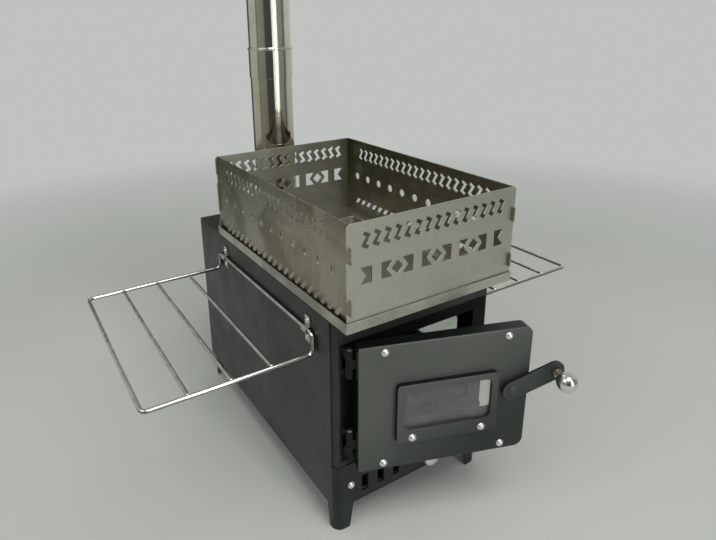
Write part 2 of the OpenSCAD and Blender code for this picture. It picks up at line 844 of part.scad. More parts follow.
// the door's leaves: a plate down the door's edge, a web and the middle knuckle
module door_hinge_leaves() {
    r = hinge_knuckle_d / 2;
    color("#39443f") on_door() for (z = hinge_zs) difference() {
        union() {
            translate([door_x0 - leaf_t, door_face + 2, z]) cube([leaf_t, door_t - 4, hinge_len]);
            translate([-hinge_x, -hinge_front - r, z + knuckle_third + gap])
                cube([hinge_set - leaf_t / 2, leaf_t, knuckle_third - 2 * gap]);
            rod_z([-hinge_x, -hinge_front, z + knuckle_third + gap], knuckle_third - 2 * gap, r);
        }
        rod_z([-hinge_x, -hinge_front, z - past], hinge_len + 2 * past, hinge_pin_d / 2 + pin_slip);
    }
}

/* ---- the air slider ---- */

// two strips behind the skirt, stepped to leave a groove for the slider
module slider_guides() {
    back = slider_y + slider_sheet + gap;
    color("#2a2f2d") place() for (up = [0, 1]) {
        edge = up ? slider_z1 + gap : slider_z0 - gap - guide_block;
        lip = up ? slider_z1 - guide_grip : slider_z0 - gap - guide_block;
        translate([guide_x0, sheet, edge]) cube([guide_x1 - guide_x0, back - sheet + 1, guide_block]);
        translate([guide_x0, back, lip]) cube([guide_x1 - guide_x0, 1, guide_grip + gap + guide_block]);
    }
}

module air_slider() {
    color("#3a423f") place() difference() {
        translate([slider_x0, slider_y, slider_z0])
            cube([slider_x1 - slider_x0, slider_sheet, slider_z1 - slider_z0]);
        for (i = [1 : 4])
            sheet_facing_front(slider_y - past, slider_sheet + 2 * past)
                translate([vent_places[i] - vent_w / 2, vent_z - vent_h / 2]) rounded(vent_w, vent_h, 1);
        rod_y([slider_knob_x, slider_y - past, slider_knob_z], slider_sheet + 2 * past, 2 + shank_fit);
    }
}

// a turned knob whose stem runs through the skirt's slot and is riveted to the slider
module slider_knob() {
    color("#c9ccc8") place() translate([slider_knob_x, 0, slider_knob_z]) rotate([90, 0, 0]) {
        rod_z([0, 0, -slider_y], slider_y + 4 + past / 2, slider_stem_d / 2);
        rod_z([0, 0, -slider_y - slider_sheet], slider_sheet + past / 2, 2);
        rod_z([0, 0, 4], slider_knob_t - 2, slider_knob_d / 2);
        rod_z([0, 0, 4 + slider_knob_t - 2], 2, slider_knob_d / 2 - 1.5);
    }
}

/* ---- the door ---- */

// the door's outline: nearly square corners at the hinges, round ones at the latch
module door_outline(inset, r_hinge, r_latch) {
    w = door_w - 2 * inset;
    h = door_h - 2 * inset;
    translate([door_x0 + inset, door_z0 + inset]) {
        translate([0, r_hinge]) square([w / 2, h - 2 * r_hinge]);
        translate([r_hinge, 0]) square([w / 2 - r_hinge, h]);
        for (z = [r_hinge, h - r_hinge]) translate([r_hinge, z]) circle(r_hinge);
        translate([w / 2, 0]) square([w / 2 - r_latch, h]);
        translate([w / 2, r_latch]) square([w / 2, h - 2 * r_latch]);
        for (z = [r_latch, h - r_latch]) translate([w - r_latch, z]) circle(r_latch);
    }
}

function door_rivet_xs() = [door_x0 + door_rivet_in, door_x1 - door_rivet_in];
function door_rivet_zs() = [door_z0 + door_rivet_edge, door_z1 - door_rivet_edge];
function window_rivet_xs() = [bezel_x0 + window_rivet_in, bezel_x0 + bezel_w - window_rivet_in];
function window_rivet_zs() = [bezel_z0 + window_rivet_up];

module door_holes() {
    through = door_t + bezel_rise + 2 * past;
    for (x = door_rivet_xs(), z = door_rivet_zs())
        rod_y([x, door_face - past, z], through, shank_d / 2 + shank_fit);
    for (x = window_rivet_xs(), z = window_rivet_zs())
        rod_y([x, door_face - bezel_rise - past, z], through, shank_d / 2 + shank_fit);
    rod_y([latch_x, door_face - past, latch_z], door_sheet + 2 * past, latch_pivot_d / 2 + shank_fit);
}

// a shallow pan, folded back round its edge
module door_pan() {
    m = pan_wider;
    color("#3a4742") on_door() difference() {
        sheet_facing_front(door_face, door_t) door_outline(0, hinge_side_r, door_corner_r);
        sheet_facing_front(door_face + door_sheet, door_t)
            door_outline(door_sheet, hinge_side_r - 0.5, door_corner_r - door_sheet);
        sheet_facing_front(door_face - past, door_sheet + 2 * past)
            translate([glass_x0 - m, glass_z0 - m])
            rounded(glass_w + 2 * m, glass_h + 2 * m, glass_corner_r + m);
        door_holes();
    }
}

// a heat shield inside the pan, held off the door's face by the long rivets
module door_liner() {
    color("#2b2f2d") on_door() difference() {
        sheet_facing_front(liner_y, liner_t)
            door_outline(door_sheet + liner_fit, hinge_side_r - 0.5, door_corner_r - door_sheet - liner_fit);
        sheet_facing_front(liner_y - past, liner_t + 2 * past)
            translate([glass_x0 - liner_wider, glass_z0])
            rounded(glass_w + 2 * liner_wider, glass_h, glass_corner_r);
        door_holes();
        rod_y([latch_x, liner_y - past, latch_z], liner_t + 2 * past, latch_head_d / 2 + 1);
    }
}

module door_rivets() {
    color("#e2e4e2") on_door() for (x = door_rivet_xs(), z = door_rivet_zs()) {
        translate([x, door_face, z]) rotate([90, 0, 0]) rivet(rivet_d, rivet_h, shank_d, door_t);
        // a tube round the shank keeps the liner at its distance
        difference() {
            rod_y([x, door_face + door_sheet, z], liner_y - door_face - door_sheet, shank_d / 2 + 1.5);
            rod_y([x, door_face, z], door_t, shank_d / 2 + shank_fit);
        }
    }
}

// the raised frame that holds the glass on the door
module window_bezel() {
    color("#34403b") on_door() difference() {
        sheet_facing_front(door_face - bezel_rise, bezel_rise)
            translate([bezel_x0, bezel_z0]) rounded(bezel_w, bezel_h, 4);
        sheet_facing_front(door_face - bezel_rise + bezel_sheet, bezel_rise)
            translate([glass_x0 - glass_margin - 0.3, glass_z0 - glass_margin - 0.3])
            rounded(glass_w + 2 * glass_margin + 0.6, glass_h + 2 * glass_margin + 0.6, 3);
        sheet_facing_front(door_face - bezel_rise - past, bezel_rise + past)
            translate([glass_x0, glass_z0]) rounded(glass_w, glass_h, glass_corner_r);
        door_holes();
    }
}

module door_glass() {
    color("#6f7a78") on_door() sheet_facing_front(door_face - glass_t, glass_t)
        translate([glass_x0 - glass_margin, glass_z0 - glass_margin])
        rounded(glass_w + 2 * glass_margin, glass_h + 2 * glass_margin, 3);
}

// a flat rope seal round the glass, pressed on it by the raised frame
module glass_gasket() {
    m = gasket_margin;
    front = door_face - glass_t - gasket_t;
    color("#4a4944") on_door() difference() {
        sheet_facing_front(front, gasket_t) translate([glass_x0 - m, glass_z0 - m])
            rounded(glass_w + 2 * m, glass_h + 2 * m, 3);
        sheet_facing_front(front - past, gasket_t + 2 * past)
            translate([glass_x0, glass_z0]) rounded(glass_w, glass_h, glass_corner_r);
    }
}

module window_rivets() {
    color("#e2e4e2") on_door() for (x = window_rivet_xs(), z = window_rivet_zs())
        translate([x, door_face - bezel_rise, z]) rotate([90, 0, 0])
            rivet(rivet_d, rivet_h, shank_d, bezel_rise + door_sheet);
}

/* ---- the latch ---- */

module latch_spacer() {
    color("#39443f") on_door() difference() {
        rod_y([latch_x, latch_y + 0.1, latch_z], latch_stand - 0.1, spacer_d / 2);
        rod_y([latch_x, latch_y - past, latch_z], latch_stand + 2 * past, latch_pivot_d / 2 + shank_fit);
    }
}

// a shoulder rivet: the bar turns on it between the spacer and the domed head
module latch_pivot() {
    color("#3c4843") on_door() translate([latch_x, latch_y - latch_t - 0.2, latch_z]) rotate([90, 0, 0])
        rivet(latch_head_d, latch_head_h, latch_pivot_d, latch_t + 0.2 + latch_stand + door_sheet);
}

module latch_arm() {
    r = latch_w / 2;
    color("#3a4742") on_latch() difference() {
        sheet_facing_front(-latch_t, latch_t) {
            translate([0, -r]) square([latch_len, latch_w]);
            circle(r);
            translate([latch_len, 0]) circle(r);
        }
        rod_y([0, -latch_t - past, 0], latch_t + 2 * past, latch_pivot_d / 2 + pin_slip);
        rod_y([latch_len, -latch_t - past, 0], latch_t + 2 * past, stem_d / 2 + shank_fit);
    }
}

// a threaded stem through the bar, with a nut on each face
module knob_stem() {
    color("#6b5a45") on_latch() translate([latch_len, 0, 0]) rotate([90, 0, 0]) {
        rod_z([0, 0, -2.4], latch_t + 2.4 + knob_stand - knob_r + 5, stem_d / 2);
        rod_z([0, 0, latch_t], nut_h, nut_d / 2, $fn = 6);
        translate([0, 0, -2.4]) cylinder(h = 2.3, r = nut_d / 2, $fn = 6);
    }
}

module ball_knob() {
    color("#e8e9ea") on_latch() translate([latch_len, -latch_t - knob_stand, 0]) difference() {
        sphere(knob_r);
        rod_y([0, knob_r - 5 - 0.5, 0], 5 + past, stem_d / 2 + shank_fit);
    }
}

// a hooked plate on the right wall that the level latch bar drops into
module latch_keeper() {
    front = latch_y - latch_t - keeper_room - 3;
    slot0 = latch_y - latch_t - keeper_room;
    slot1 = latch_y + keeper_room;
    lip = keeper_slot_z + keeper_lip;
    color("#39443f") place() sheet_facing_side(half_w, keeper_t) difference() {
        polygon([
            [front, keeper_slot_z - keeper_below + 6], [front + 6, keeper_slot_z - keeper_below],
            [keeper_y1, keeper_slot_z - keeper_below], [keeper_y1, lip], [front, lip]
        ]);
        translate([slot0, keeper_slot_z]) square([slot1 - slot0, keeper_lip + past]);
    }
}

/* ---- the chimney ---- */

module lower_pipe() {
    color("#b9b3a6") place() translate([0, pipe_y, 0]) difference() {
        rod_z([0, 0, pipe_foot], pipe_len, pipe_r);
        rod_z([0, 0, pipe_foot - past], pipe_len + 2 * past, pipe_r - pipe_wall);
    }
}

// its widened lower end slips over the lower pipe as far as the rolled bead
module upper_pipe() {
    stop = pipe_joint + pipe_overlap + 0.2;
    color("#c4c3bf") place() translate([0, pipe_y, 0]) difference() {
        union() {
            rod_z([0, 0, pipe_joint], bead_z - pipe_joint, socket_r);
            rod_z([0, 0, pipe_joint], pipe_top - pipe_joint, pipe_r);
            translate([0, 0, bead_z]) rotate_extrude() translate([socket_r - 0.6, 0]) circle(bead_r, $fn = 24);
        }
        rod_z([0, 0, pipe_joint - past], stop - pipe_joint + past, socket_r - pipe_wall);
        rod_z([0, 0, pipe_joint], pipe_top, pipe_r - pipe_wall);
    }
}

/* ---- the cooking tray and the grill box ---- */

// a pressed tray with a hemmed rim and a well that drops through the top plate
module cooking_tray() {
    len = tray_front + tray_back;
    color("#8d9088") place() difference() {
        union() {
            translate([-tray_w / 2, -tray_front, tray_z])
                linear_extrude(tray_sheet + tray_rim) rounded(tray_w, len, 2);
            translate([-well_w / 2, well_from_front, tray_z - well_depth])
                linear_extrude(well_depth + tray_sheet) rounded(well_w, well_l, well_r);
        }
        translate([-tray_w / 2 + tray_wall, -tray_front + tray_wall, tray_floor])
            linear_extrude(tray_rim + past) rounded(tray_w - 2 * tray_wall, len - 2 * tray_wall, 0.4);
        translate([-well_w / 2 + tray_sheet, well_from_front + tray_sheet, tray_z - well_depth + tray_sheet])
            linear_extrude(well_depth + tray_rim)
            rounded(well_w - 2 * tray_sheet, well_l - 2 * tray_sheet, well_r - 1);
    }
}

// one zigzag, like a slanted Z, or like an S where its panel is turned to face back
module zigzag(turned = 0) {
    drop = 3;
    x = (zig_w - cut_w) / 2;
    z = (zig_h - cut_w) / 2;
    line = [[-x, z], [x, z - drop], [-x, drop - z], [x, -z]];
    side = [
        normal(line[0], line[1]), mitre(line[0], line[1], line[2]),
        mitre(line[1], line[2], line[3]), normal(line[2], line[3])
    ] * cut_w / 2;
    mirror([turned, 0]) polygon([for (i = [0 : 7]) i < 4 ? line[i] + side[i] : line[7 - i] - side[7 - i]]);
}

// a block with a V notch in its right side, from its upright left edge
module notched_block() {
    z = motif_h / 2;
    polygon([[0, -z], [block_w, -z], [block_bar, 0], [block_w, z], [0, z]]);
}

// the row of notched blocks and diamonds on the short panels
module motif_row() {
    for (i = [-1, 0, 1]) translate([i * motif_pitch, 0]) {
        rotate(45) square(diamond_w / sqrt(2), center = true);
        for (side = [0, 1]) mirror([side, 0]) translate([-motif_half, 0]) notched_block();
    }
    for (side = [0, 1]) mirror([side, 0]) translate([2 * motif_pitch - motif_half, 0]) notched_block();
}

// a short panel: the same for the front and the back, notched at its ends for the long panels' ears
module short_panel(y, turned) {
    half = box_w / 2;
    c = panel_chamfer;
    color("#a4a598") place() sheet_facing_front(y, box_sheet) translate([0, panel_foot]) difference() {
        polygon([
            [-half, 0], [half, 0], [half, box_h - c], [half - c, box_h], [c - half, box_h], [-half, box_h - c]
        ]);
        for (i = [-7 : 7]) translate([i * zig_pitch, zig_up]) zigzag(turned);
        translate([0, motif_up]) motif_row();
        for (side = [-1, 1], z = ear_levels) {
            inner = long_x - box_sheet - notch_fit;
            translate([side > 0 ? inner : -half - past, z - ear_neck / 2 - notch_fit])
                square([half - inner + past, ear_neck + 2 * notch_fit]);
        }
    }
}

module grill_front_panel() { short_panel(box_y0, 0); }
module grill_rear_panel() { short_panel(box_y1 - box_sheet, 1); }

// a long panel: T-shaped ears at both ends hook through the short panels' notches
module long_panel(x, turned) {
    y0 = box_y0 + box_sheet + notch_fit;
    y1 = box_y1 - box_sheet - notch_fit;
    color("#98978b") place() sheet_facing_side(x, box_sheet) translate([0, panel_foot]) difference() {
        union() {
            translate([y0, 0]) square([y1 - y0, box_h]);
            for (z = ear_levels) {
                translate([box_y0 - ear_out, z - ear_neck / 2])
                    square([box_y1 - box_y0 + 2 * ear_out, ear_neck]);
                for (y = [box_y0 - ear_out, box_y1 + notch_fit])
                    translate([y, z - ear_head / 2]) square([ear_out - notch_fit, ear_head]);
            }
        }
        for (i = [-10 : 10]) translate([box_mid + i * zig_pitch, zig_up]) zigzag(turned);
        for (i = [-5 : 5]) translate([box_mid + i * hole_pitch, motif_up]) circle(hole_d / 2);
        lean = slant_lean * slant_h;
        for (i = [-10 : 10]) translate([box_mid + i * slant_pitch, slant_up])
            polygon([
                [-slant_w / 2, 0], [slant_w / 2, 0],
                [slant_w / 2 - lean, slant_h], [-slant_w / 2 - lean, slant_h]
            ]);
    }
}

module grill_left_panel() { long_panel(-long_x, 0); }
module grill_right_panel() { long_panel(long_x - box_sheet, 1); }

/* ---- the side racks ---- */

// a strap over the hinge rod with an ear above and below it, drawn for the right side
module rack_strap(y) {
    r = wire_r + strap_fit;
    ear = strap_ear + strap_t;
    translate([0, y + strap_w / 2, 0]) rotate([90, 0, 0]) linear_extrude(strap_w) difference() {
        union() {
            translate([rod_x, rod_z]) circle(r + strap_t);
            translate([half_w, rod_z - r - strap_t]) square([rod_x - half_w, 2 * (r + strap_t)]);
            for (up = [-1, 1]) translate([half_w, up > 0 ? rod_z + r : rod_z - r - ear]) square([strap_t, ear]);
        }
        translate([rod_x, rod_z]) circle(r);
        translate([half_w - past, rod_z - r]) square([rod_x - half_w + past, 2 * r]);
        translate([half_w - r - strap_t, rod_z - r - ear - past]) square([r + strap_t, 2 * (r + ear + past)]);
    }
}

module rack_straps() {
    difference() {
        for (y = strap_ys) rack_strap(y);
        for (y = strap_ys, up = [-1, 1])
            rod_x([half_w - 5, y, rod_z + up * strap_rivet_off()], 10, small_shank_d / 2 + shank_fit);
    }
}

module right_rack_straps() { color("#b4b6b2") place() rack_straps(); }
module left_rack_straps() { color("#b4b6b2") place() mirror([1, 0, 0]) rack_straps(); }

module strap_rivets() {
    color("#c4c6c2") place() for (side = [-1, 1], y = strap_ys, up = [-1, 1])
        translate([side * (half_w + strap_t), y, rod_z + up * strap_rivet_off()]) rotate([0, side * 90, 0])
            rivet(small_rivet_d, small_rivet_h, small_shank_d, strap_t + sheet);
}

// a quarter bend of wire in the XZ plane: it leaves (x, z) along the start angle
module bend_xz(centre, y, from) {
    translate([centre[0], y, centre[1]]) rotate([90, 0, 0]) rotate([0, 0, from])
        rotate_extrude(angle = 90) translate([bend_r, 0]) circle(wire_r);
}

// the rack's frame drawn for the right side: the hinge rod, a drop at each end and the outer loop
module rack_frame() {
    b = bend_r;
    // the hinge rod and its quarter bends down to the drops
    rod_y([rod_x, rack_y0 + b, rod_z], rack_l - 2 * b, wire_r);
    translate([rod_x, rack_y0 + b, rod_z - b]) rotate([0, -90, 0]) rotate([0, 0, -90])
        rotate_extrude(angle = 90) translate([b, 0]) circle(wire_r);
    translate([rod_x, rack_y1 - b, rod_z - b]) rotate([0, -90, 0])
        rotate_extrude(angle = 90) translate([b, 0]) circle(wire_r);
    for (y = [rack_y0, rack_y1]) {
        rod_z([rod_x, y, rack_z + b], rack_drop - 2 * b, wire_r);
        bend_xz([rod_x + b, rack_z + b], y, 180);
        rod_x([rod_x + b, y, rack_z], rack_out - rod_x - 2 * b, wire_r);
    }
    // the two outer corners and the outer wire
    translate([rack_out - b, rack_y0 + b, rack_z]) rotate([0, 0, -90])
        rotate_extrude(angle = 90) translate([b, 0]) circle(wire_r);
    translate([rack_out - b, rack_y1 - b, rack_z])
        rotate_extrude(angle = 90) translate([b, 0]) circle(wire_r);
    rod_y([rack_out, rack_y0 + b, rack_z], rack_l - 2 * b, wire_r);
}

// three cross wires, welded between the rack's front and rear wires
module rack_bars() {
    for (i = [1 : 3])
        rod_y([rack_out - i * rack_pitch, rack_y0 + wire_r, rack_z], rack_l - wire_d, wire_r * 0.9);
}

module right_rack_frame() { color("#c8cac9") place() rack_frame(); }
module right_rack_bars() { color("#c8cac9") place() rack_bars(); }
module left_rack_frame() { color("#c8cac9") place() mirror([1, 0, 0]) rack_frame(); }
module left_rack_bars() { color("#c8cac9") place() mirror([1, 0, 0]) rack_bars(); }

left_wall();
right_wall();
rear_wall();
front_frame();
front_skirt();
floor_plate();
top_plate();
flue_collar();
left_grate_rail();
right_grate_rail();
fire_grate();
foot_front_left();
foot_front_right();
foot_rear_left();
foot_rear_right();
foot_rivets();
side_window_frame();
side_window_glass();
side_window_rivets();
upper_hinge_leaf();
lower_hinge_leaf();
hinge_pins();
latch_keeper();
slider_guides();
air_slider();
slider_knob();
left_rack_straps();
right_rack_straps();
strap_rivets();
left_rack_frame();
left_rack_bars();
right_rack_frame();
right_rack_bars();
door_pan();
door_liner();
door_hinge_leaves();
door_rivets();
window_bezel();
door_glass();
glass_gasket();
window_rivets();
latch_spacer();
latch_pivot();
latch_arm();
knob_stem();
ball_knob();
cooking_tray();
grill_front_panel();
grill_rear_panel();
grill_left_panel();
grill_right_panel();
lower_pipe();
upper_pipe();
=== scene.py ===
"""Looks of a tent wood stove: black coated firebox, brushed steel grill box, polished pipe, wire racks."""

import json
import math

import bmesh
import bpy
import numpy as np
from mathutils import Matrix, Vector

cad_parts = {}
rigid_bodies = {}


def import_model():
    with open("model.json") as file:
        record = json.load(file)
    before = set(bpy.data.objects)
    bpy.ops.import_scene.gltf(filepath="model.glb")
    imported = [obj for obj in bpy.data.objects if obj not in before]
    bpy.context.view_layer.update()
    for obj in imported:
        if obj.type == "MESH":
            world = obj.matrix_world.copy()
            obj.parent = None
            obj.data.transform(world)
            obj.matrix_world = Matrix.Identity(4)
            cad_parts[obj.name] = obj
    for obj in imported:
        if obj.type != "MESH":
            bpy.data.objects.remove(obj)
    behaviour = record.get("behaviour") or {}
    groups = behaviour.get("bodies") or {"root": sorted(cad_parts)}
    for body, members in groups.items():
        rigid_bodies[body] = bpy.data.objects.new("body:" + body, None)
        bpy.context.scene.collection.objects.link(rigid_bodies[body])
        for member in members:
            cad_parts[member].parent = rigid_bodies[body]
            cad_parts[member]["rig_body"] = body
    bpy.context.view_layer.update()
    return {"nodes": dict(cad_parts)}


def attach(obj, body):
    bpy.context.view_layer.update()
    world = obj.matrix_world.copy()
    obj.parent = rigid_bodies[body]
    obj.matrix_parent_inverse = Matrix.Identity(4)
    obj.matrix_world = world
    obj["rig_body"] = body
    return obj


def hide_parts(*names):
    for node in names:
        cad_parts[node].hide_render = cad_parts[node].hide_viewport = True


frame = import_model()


# ---- Camera, floor and studio light ----
# The stove stands on a wide pale floor. A soft lamp hangs high in front, a tall narrow one stands in front
# like a window, and a weak one is on the left. The walls of the studio are dark, grey and pale in turn, so
# that the round chimney shows upright stripes.

def aimed(place, ahead, roll=0.0):
    """Matrix of a camera or lamp at place that looks along ahead, turned by roll about that line."""
    ahead = Vector(ahead).normalized()
    right = ahead.cross(Vector((0, 0, 1))).normalized()
    up = right.cross(ahead)
    across = right * math.cos(roll) + up * math.sin(roll)
    upward = up * math.cos(roll) - right * math.sin(roll)
    turn = Matrix((across, upward, -ahead)).transposed().to_4x4()
    return Matrix.Translation(place) @ turn


yaw, pitch = math.radians(30.2054), math.radians(18.2389)
look = (math.sin(yaw) * math.cos(pitch), math.cos(yaw) * math.cos(pitch), -math.sin(pitch))
camera = bpy.data.objects.new("camera", bpy.data.cameras.new("camera"))
camera.matrix_world = aimed((-0.37292, -0.55323, 0.55692), look, math.radians(-1.3055))
camera.data.sensor_width = 36.0
camera.data.lens = 28.914
camera.data.shift_x = 0.0571
camera.data.shift_y = -0.0897
camera.data.clip_start = 0.01
bpy.context.scene.collection.objects.link(camera)
bpy.context.scene.camera = camera
bpy.context.scene.view_settings.view_transform = "Standard"


def node(tree, kind, inputs=None, **settings):
    """A shader node with its settings and its inputs, each a value or another node's output."""
    made = tree.nodes.new("ShaderNode" + kind)
    for name, value in settings.items():
        setattr(made, name, value)
    for name, value in (inputs or {}).items():
        if isinstance(value, bpy.types.NodeSocket):
            tree.links.new(value, made.inputs[name])
        else:
            made.inputs[name].default_value = value
    return made


def ramp(tree, factor, stops):
    """A colour ramp from (place, grey or colour) stops."""
    made = node(tree, "ValToRGB", {"Fac": factor})
    for n, (place, colour) in enumerate(stops):
        if n < 2:
            stop = made.color_ramp.elements[n]
            stop.position = place
        else:
            stop = made.color_ramp.elements.new(place)
        stop.color = (*colour, 1) if hasattr(colour, "__len__") else (colour,) * 3 + (1,)
    return made.outputs["Color"]


def noise(tree, place, scale, detail, rough=0.5):
    """The value of a cloudy noise, with scale lumps to the metre and detail layers of finer ones."""
    return node(tree, "TexNoise", {"Vector": place, "Scale": scale, "Detail": detail,
                                   "Roughness": rough}).outputs["Fac"]


def times(tree, a, b):
    """The product of two values."""
    return node(tree, "Math", {0: a, 1: b}, operation="MULTIPLY").outputs[0]


def soft_step(tree, value, start, end, most=1.0):
    """0 where the value is at start, most where it is at end, and eased between them."""
    return node(tree, "MapRange", {"Value": value, "From Min": start, "From Max": end, "To Max": most},
                interpolation_type="SMOOTHSTEP").outputs["Result"]


def blend(tree, factor, a, b):
    """Colour a where the factor is 0 and b where it is 1."""
    four = [x if isinstance(x, bpy.types.NodeSocket) else (*x, 1) for x in (a, b)]
    return node(tree, "Mix", {0: factor, 6: four[0], 7: four[1]}, data_type="RGBA").outputs[2]


def lamp(name, place, width, height, watts, colour):
    """A soft rectangular lamp that faces the middle of the stove."""
    made = bpy.data.objects.new(name, bpy.data.lights.new(name, "AREA"))
    made.data.shape = "RECTANGLE"
    made.data.size, made.data.size_y = width, height
    made.data.energy = watts
    made.data.color = colour
    made.matrix_world = aimed(place, Vector((0, 0, 0.25)) - Vector(place))
    bpy.context.scene.collection.objects.link(made)


lamp("high_lamp", (-0.15, -1.05, 2.10), 1.3, 1.0, 19.0, (1.0, 1.0, 0.97))
lamp("window_lamp", (0.24, -2.40, 0.95), 0.22, 1.9, 12.0, (1.0, 1.0, 0.98))
lamp("left_lamp", (-1.9, -0.3, 1.9), 1.4, 1.4, 9.0, (0.97, 1.0, 0.98))

backdrop = (0.525, 0.545, 0.525)
world = bpy.data.worlds.new("studio")
world.use_nodes = True
sky = world.node_tree
sky.nodes.clear()
ray = node(sky, "LightPath")
toward = node(sky, "SeparateXYZ", {"Vector": node(sky, "TexCoord").outputs["Generated"]}).outputs
ahead = times(sky, toward["Y"], -1.0)
bearing = node(sky, "Math", {0: toward["X"], 1: ahead}, operation="ARCTAN2").outputs[0]
around = node(sky, "MapRange", {"Value": bearing, "From Min": -math.pi, "From Max": math.pi}).outputs[0]
walls = ramp(sky, around, [
    (0.0, 0.07), (1.0, 0.07), (0.045, 0.09), (0.075, (0.45, 0.45, 0.40)), (0.215, (0.44, 0.44, 0.39)),
    (0.232, 0.12), (0.25, (0.26, 0.26, 0.225)), (0.345, (0.22, 0.22, 0.19)), (0.362, 0.07), (0.460, 0.06),
    (0.473, 1.22), (0.538, 1.22), (0.551, (0.25, 0.255, 0.225)), (0.615, (0.27, 0.275, 0.245)),
    (0.632, 0.15), (0.662, 0.16), (0.68, (0.50, 0.51, 0.47)), (0.90, (0.58, 0.59, 0.56)), (0.94, 0.10)])
studio = blend(sky, soft_step(sky, toward["Z"], 0.25, 0.9), walls, (0.42, 0.43, 0.41))
plain = node(sky, "Math", {0: ray.outputs["Is Camera Ray"], 1: ray.outputs["Is Transmission Ray"]},
             operation="MAXIMUM").outputs[0]
light = node(sky, "Background", {"Color": blend(sky, plain, studio, backdrop), "Strength": 1.0})
node(sky, "OutputWorld", {"Surface": light.outputs[0]})
bpy.context.scene.world = world

# a round pale floor: seen by the camera it fades into the backdrop before its rim
floor_reach, floor_sides = 1.95, 96
turn = np.linspace(0, 2 * np.pi, floor_sides, endpoint=False)
rim = np.stack([floor_reach * np.cos(turn), floor_reach * np.sin(turn), np.full(floor_sides, -0.0004)], 1)
floor_mesh = bpy.data.meshes.new("floor")
floor_mesh.from_pydata(rim.tolist(), [], [tuple(range(floor_sides))])
floor = bpy.data.objects.new("floor", floor_mesh)
bpy.context.scene.collection.objects.link(floor)
paper = bpy.data.materials.new("pale_floor")
paper.use_nodes = True
tree = paper.node_tree
tree.nodes.clear()
place = node(tree, "TexCoord").outputs["Object"]
far = node(tree, "VectorMath", {0: place}, operation="LENGTH").outputs["Value"]
near = blend(tree, noise(tree, place, 2.2, 4.0), (0.53, 0.555, 0.53), (0.605, 0.63, 0.60))
pale = blend(tree, soft_step(tree, far, 1.1, floor_reach), near, (0.22, 0.22, 0.20))
seen = times(tree, soft_step(tree, far, 0.7, 1.9), node(tree, "LightPath").outputs["Is Camera Ray"])
cloth = node(tree, "BsdfDiffuse", {"Color": pale})
even = node(tree, "Emission", {"Color": (*backdrop, 1), "Strength": 1.0})
mixed = node(tree, "MixShader", {0: seen, 1: cloth.outputs[0], 2: even.outputs[0]})
node(tree, "OutputMaterial", {"Surface": mixed.outputs[0]})
floor.data.materials.append(paper)


# ---- Firebox walls ----
# Side walls, rear wall, front frame, skirt, top plate and side window frame are folded from 1.5 mm sheet,
# welded and coated with black high-heat powder that has a fine grain and a faint green cast.

def effect(name, takes, gives):
    """An empty node group with named inputs (name, socket type, value) and outputs (name, socket type)."""
    group = bpy.data.node_groups.new(name, "ShaderNodeTree")
    for label, kind, value in takes:
        socket = group.interface.new_socket(label, in_out="INPUT", socket_type="NodeSocket" + kind)
        if value is not None:
            socket.default_value = value
    for label, kind in gives:
        group.interface.new_socket(label, in_out="OUTPUT", socket_type="NodeSocket" + kind)
    return group, group.nodes.new("NodeGroupInput").outputs, group.nodes.new("NodeGroupOutput")


coat_grain, given, out = effect("coat_grain", [("Vector", "Vector", None), ("Size", "Float", 1200.0)],
                                [("Height", "Float"), ("Cloud", "Float")])
fine = noise(coat_grain, given["Vector"], given["Size"], 2.0, 0.6)
less = times(coat_grain, given["Size"], 0.45)
peel = node(coat_grain, "TexVoronoi", {"Vector": given["Vector"], "Scale": less}, feature="SMOOTH_F1")
both = node(coat_grain, "Math", {0: fine, 1: peel.outputs["Distance"]}, operation="ADD").outputs[0]
coat_grain.links.new(both, out.inputs["Height"])
coat_grain.links.new(noise(coat_grain, given["Vector"], 14.0, 5.0, 0.55), out.inputs["Cloud"])

# Lighter edges from a Bevel mask broken up in patches: partly rubbed wear, partly a painted edge highlight.
edge_wear_and_highlight, given, out = effect("edge_wear_and_highlight", [("Vector", "Vector", None), ("Amount", "Float", 1.0)],
                               [("Mask", "Float")])
rounded = node(edge_wear_and_highlight, "Bevel", {"Radius": 0.0012}, samples=4).outputs["Normal"]
true = node(edge_wear_and_highlight, "NewGeometry").outputs["Normal"]
same = node(edge_wear_and_highlight, "VectorMath", {0: rounded, 1: true}, operation="DOT_PRODUCT").outputs["Value"]
edge = node(edge_wear_and_highlight, "MapRange", {"Value": same, "From Min": 0.985, "From Max": 0.80}).outputs["Result"]
patch = noise(edge_wear_and_highlight, given["Vector"], 120.0, 4.0, 0.7)
edge_patches = node(edge_wear_and_highlight, "MapRange", {"Value": patch, "From Min": 0.42, "From Max": 0.62}).outputs["Result"]
worn_and_lit = times(edge_wear_and_highlight, edge, edge_patches)
edge_wear_and_highlight.links.new(times(edge_wear_and_highlight, worn_and_lit, given["Amount"]), out.inputs["Mask"])

smudges, given, out = effect("smudges", [("Vector", "Vector", None), ("Size", "Float", 25.0)],
                             [("Mask", "Float")])
wide = node(smudges, "TexNoise", {"Vector": given["Vector"], "Scale": given["Size"], "Detail": 6.0,
                                  "Roughness": 0.6, "Distortion": 0.6})
smudges.links.new(soft_step(smudges, wide.outputs["Fac"], 0.38, 0.66), out.inputs["Mask"])


def material(name):
    """An empty material with its node tree and the piece's own place as Object coordinates."""
    made = bpy.data.materials.new(name)
    made.use_nodes = True
    made.node_tree.nodes.clear()
    return made, made.node_tree, node(made.node_tree, "TexCoord").outputs["Object"]


def use(tree, group, **inputs):
    """One of the shared effects, placed in a material with its own values."""
    made = tree.nodes.new("ShaderNodeGroup")
    made.node_tree = group
    for name, value in inputs.items():
        if isinstance(value, bpy.types.NodeSocket):
            tree.links.new(value, made.inputs[name])
        else:
            made.inputs[name].default_value = value
    return made.outputs


def span(tree, value, low, high):
    """A value of 0 to 1 spread from low to high."""
    return node(tree, "MapRange", {"Value": value, "To Min": low, "To Max": high}).outputs["Result"]


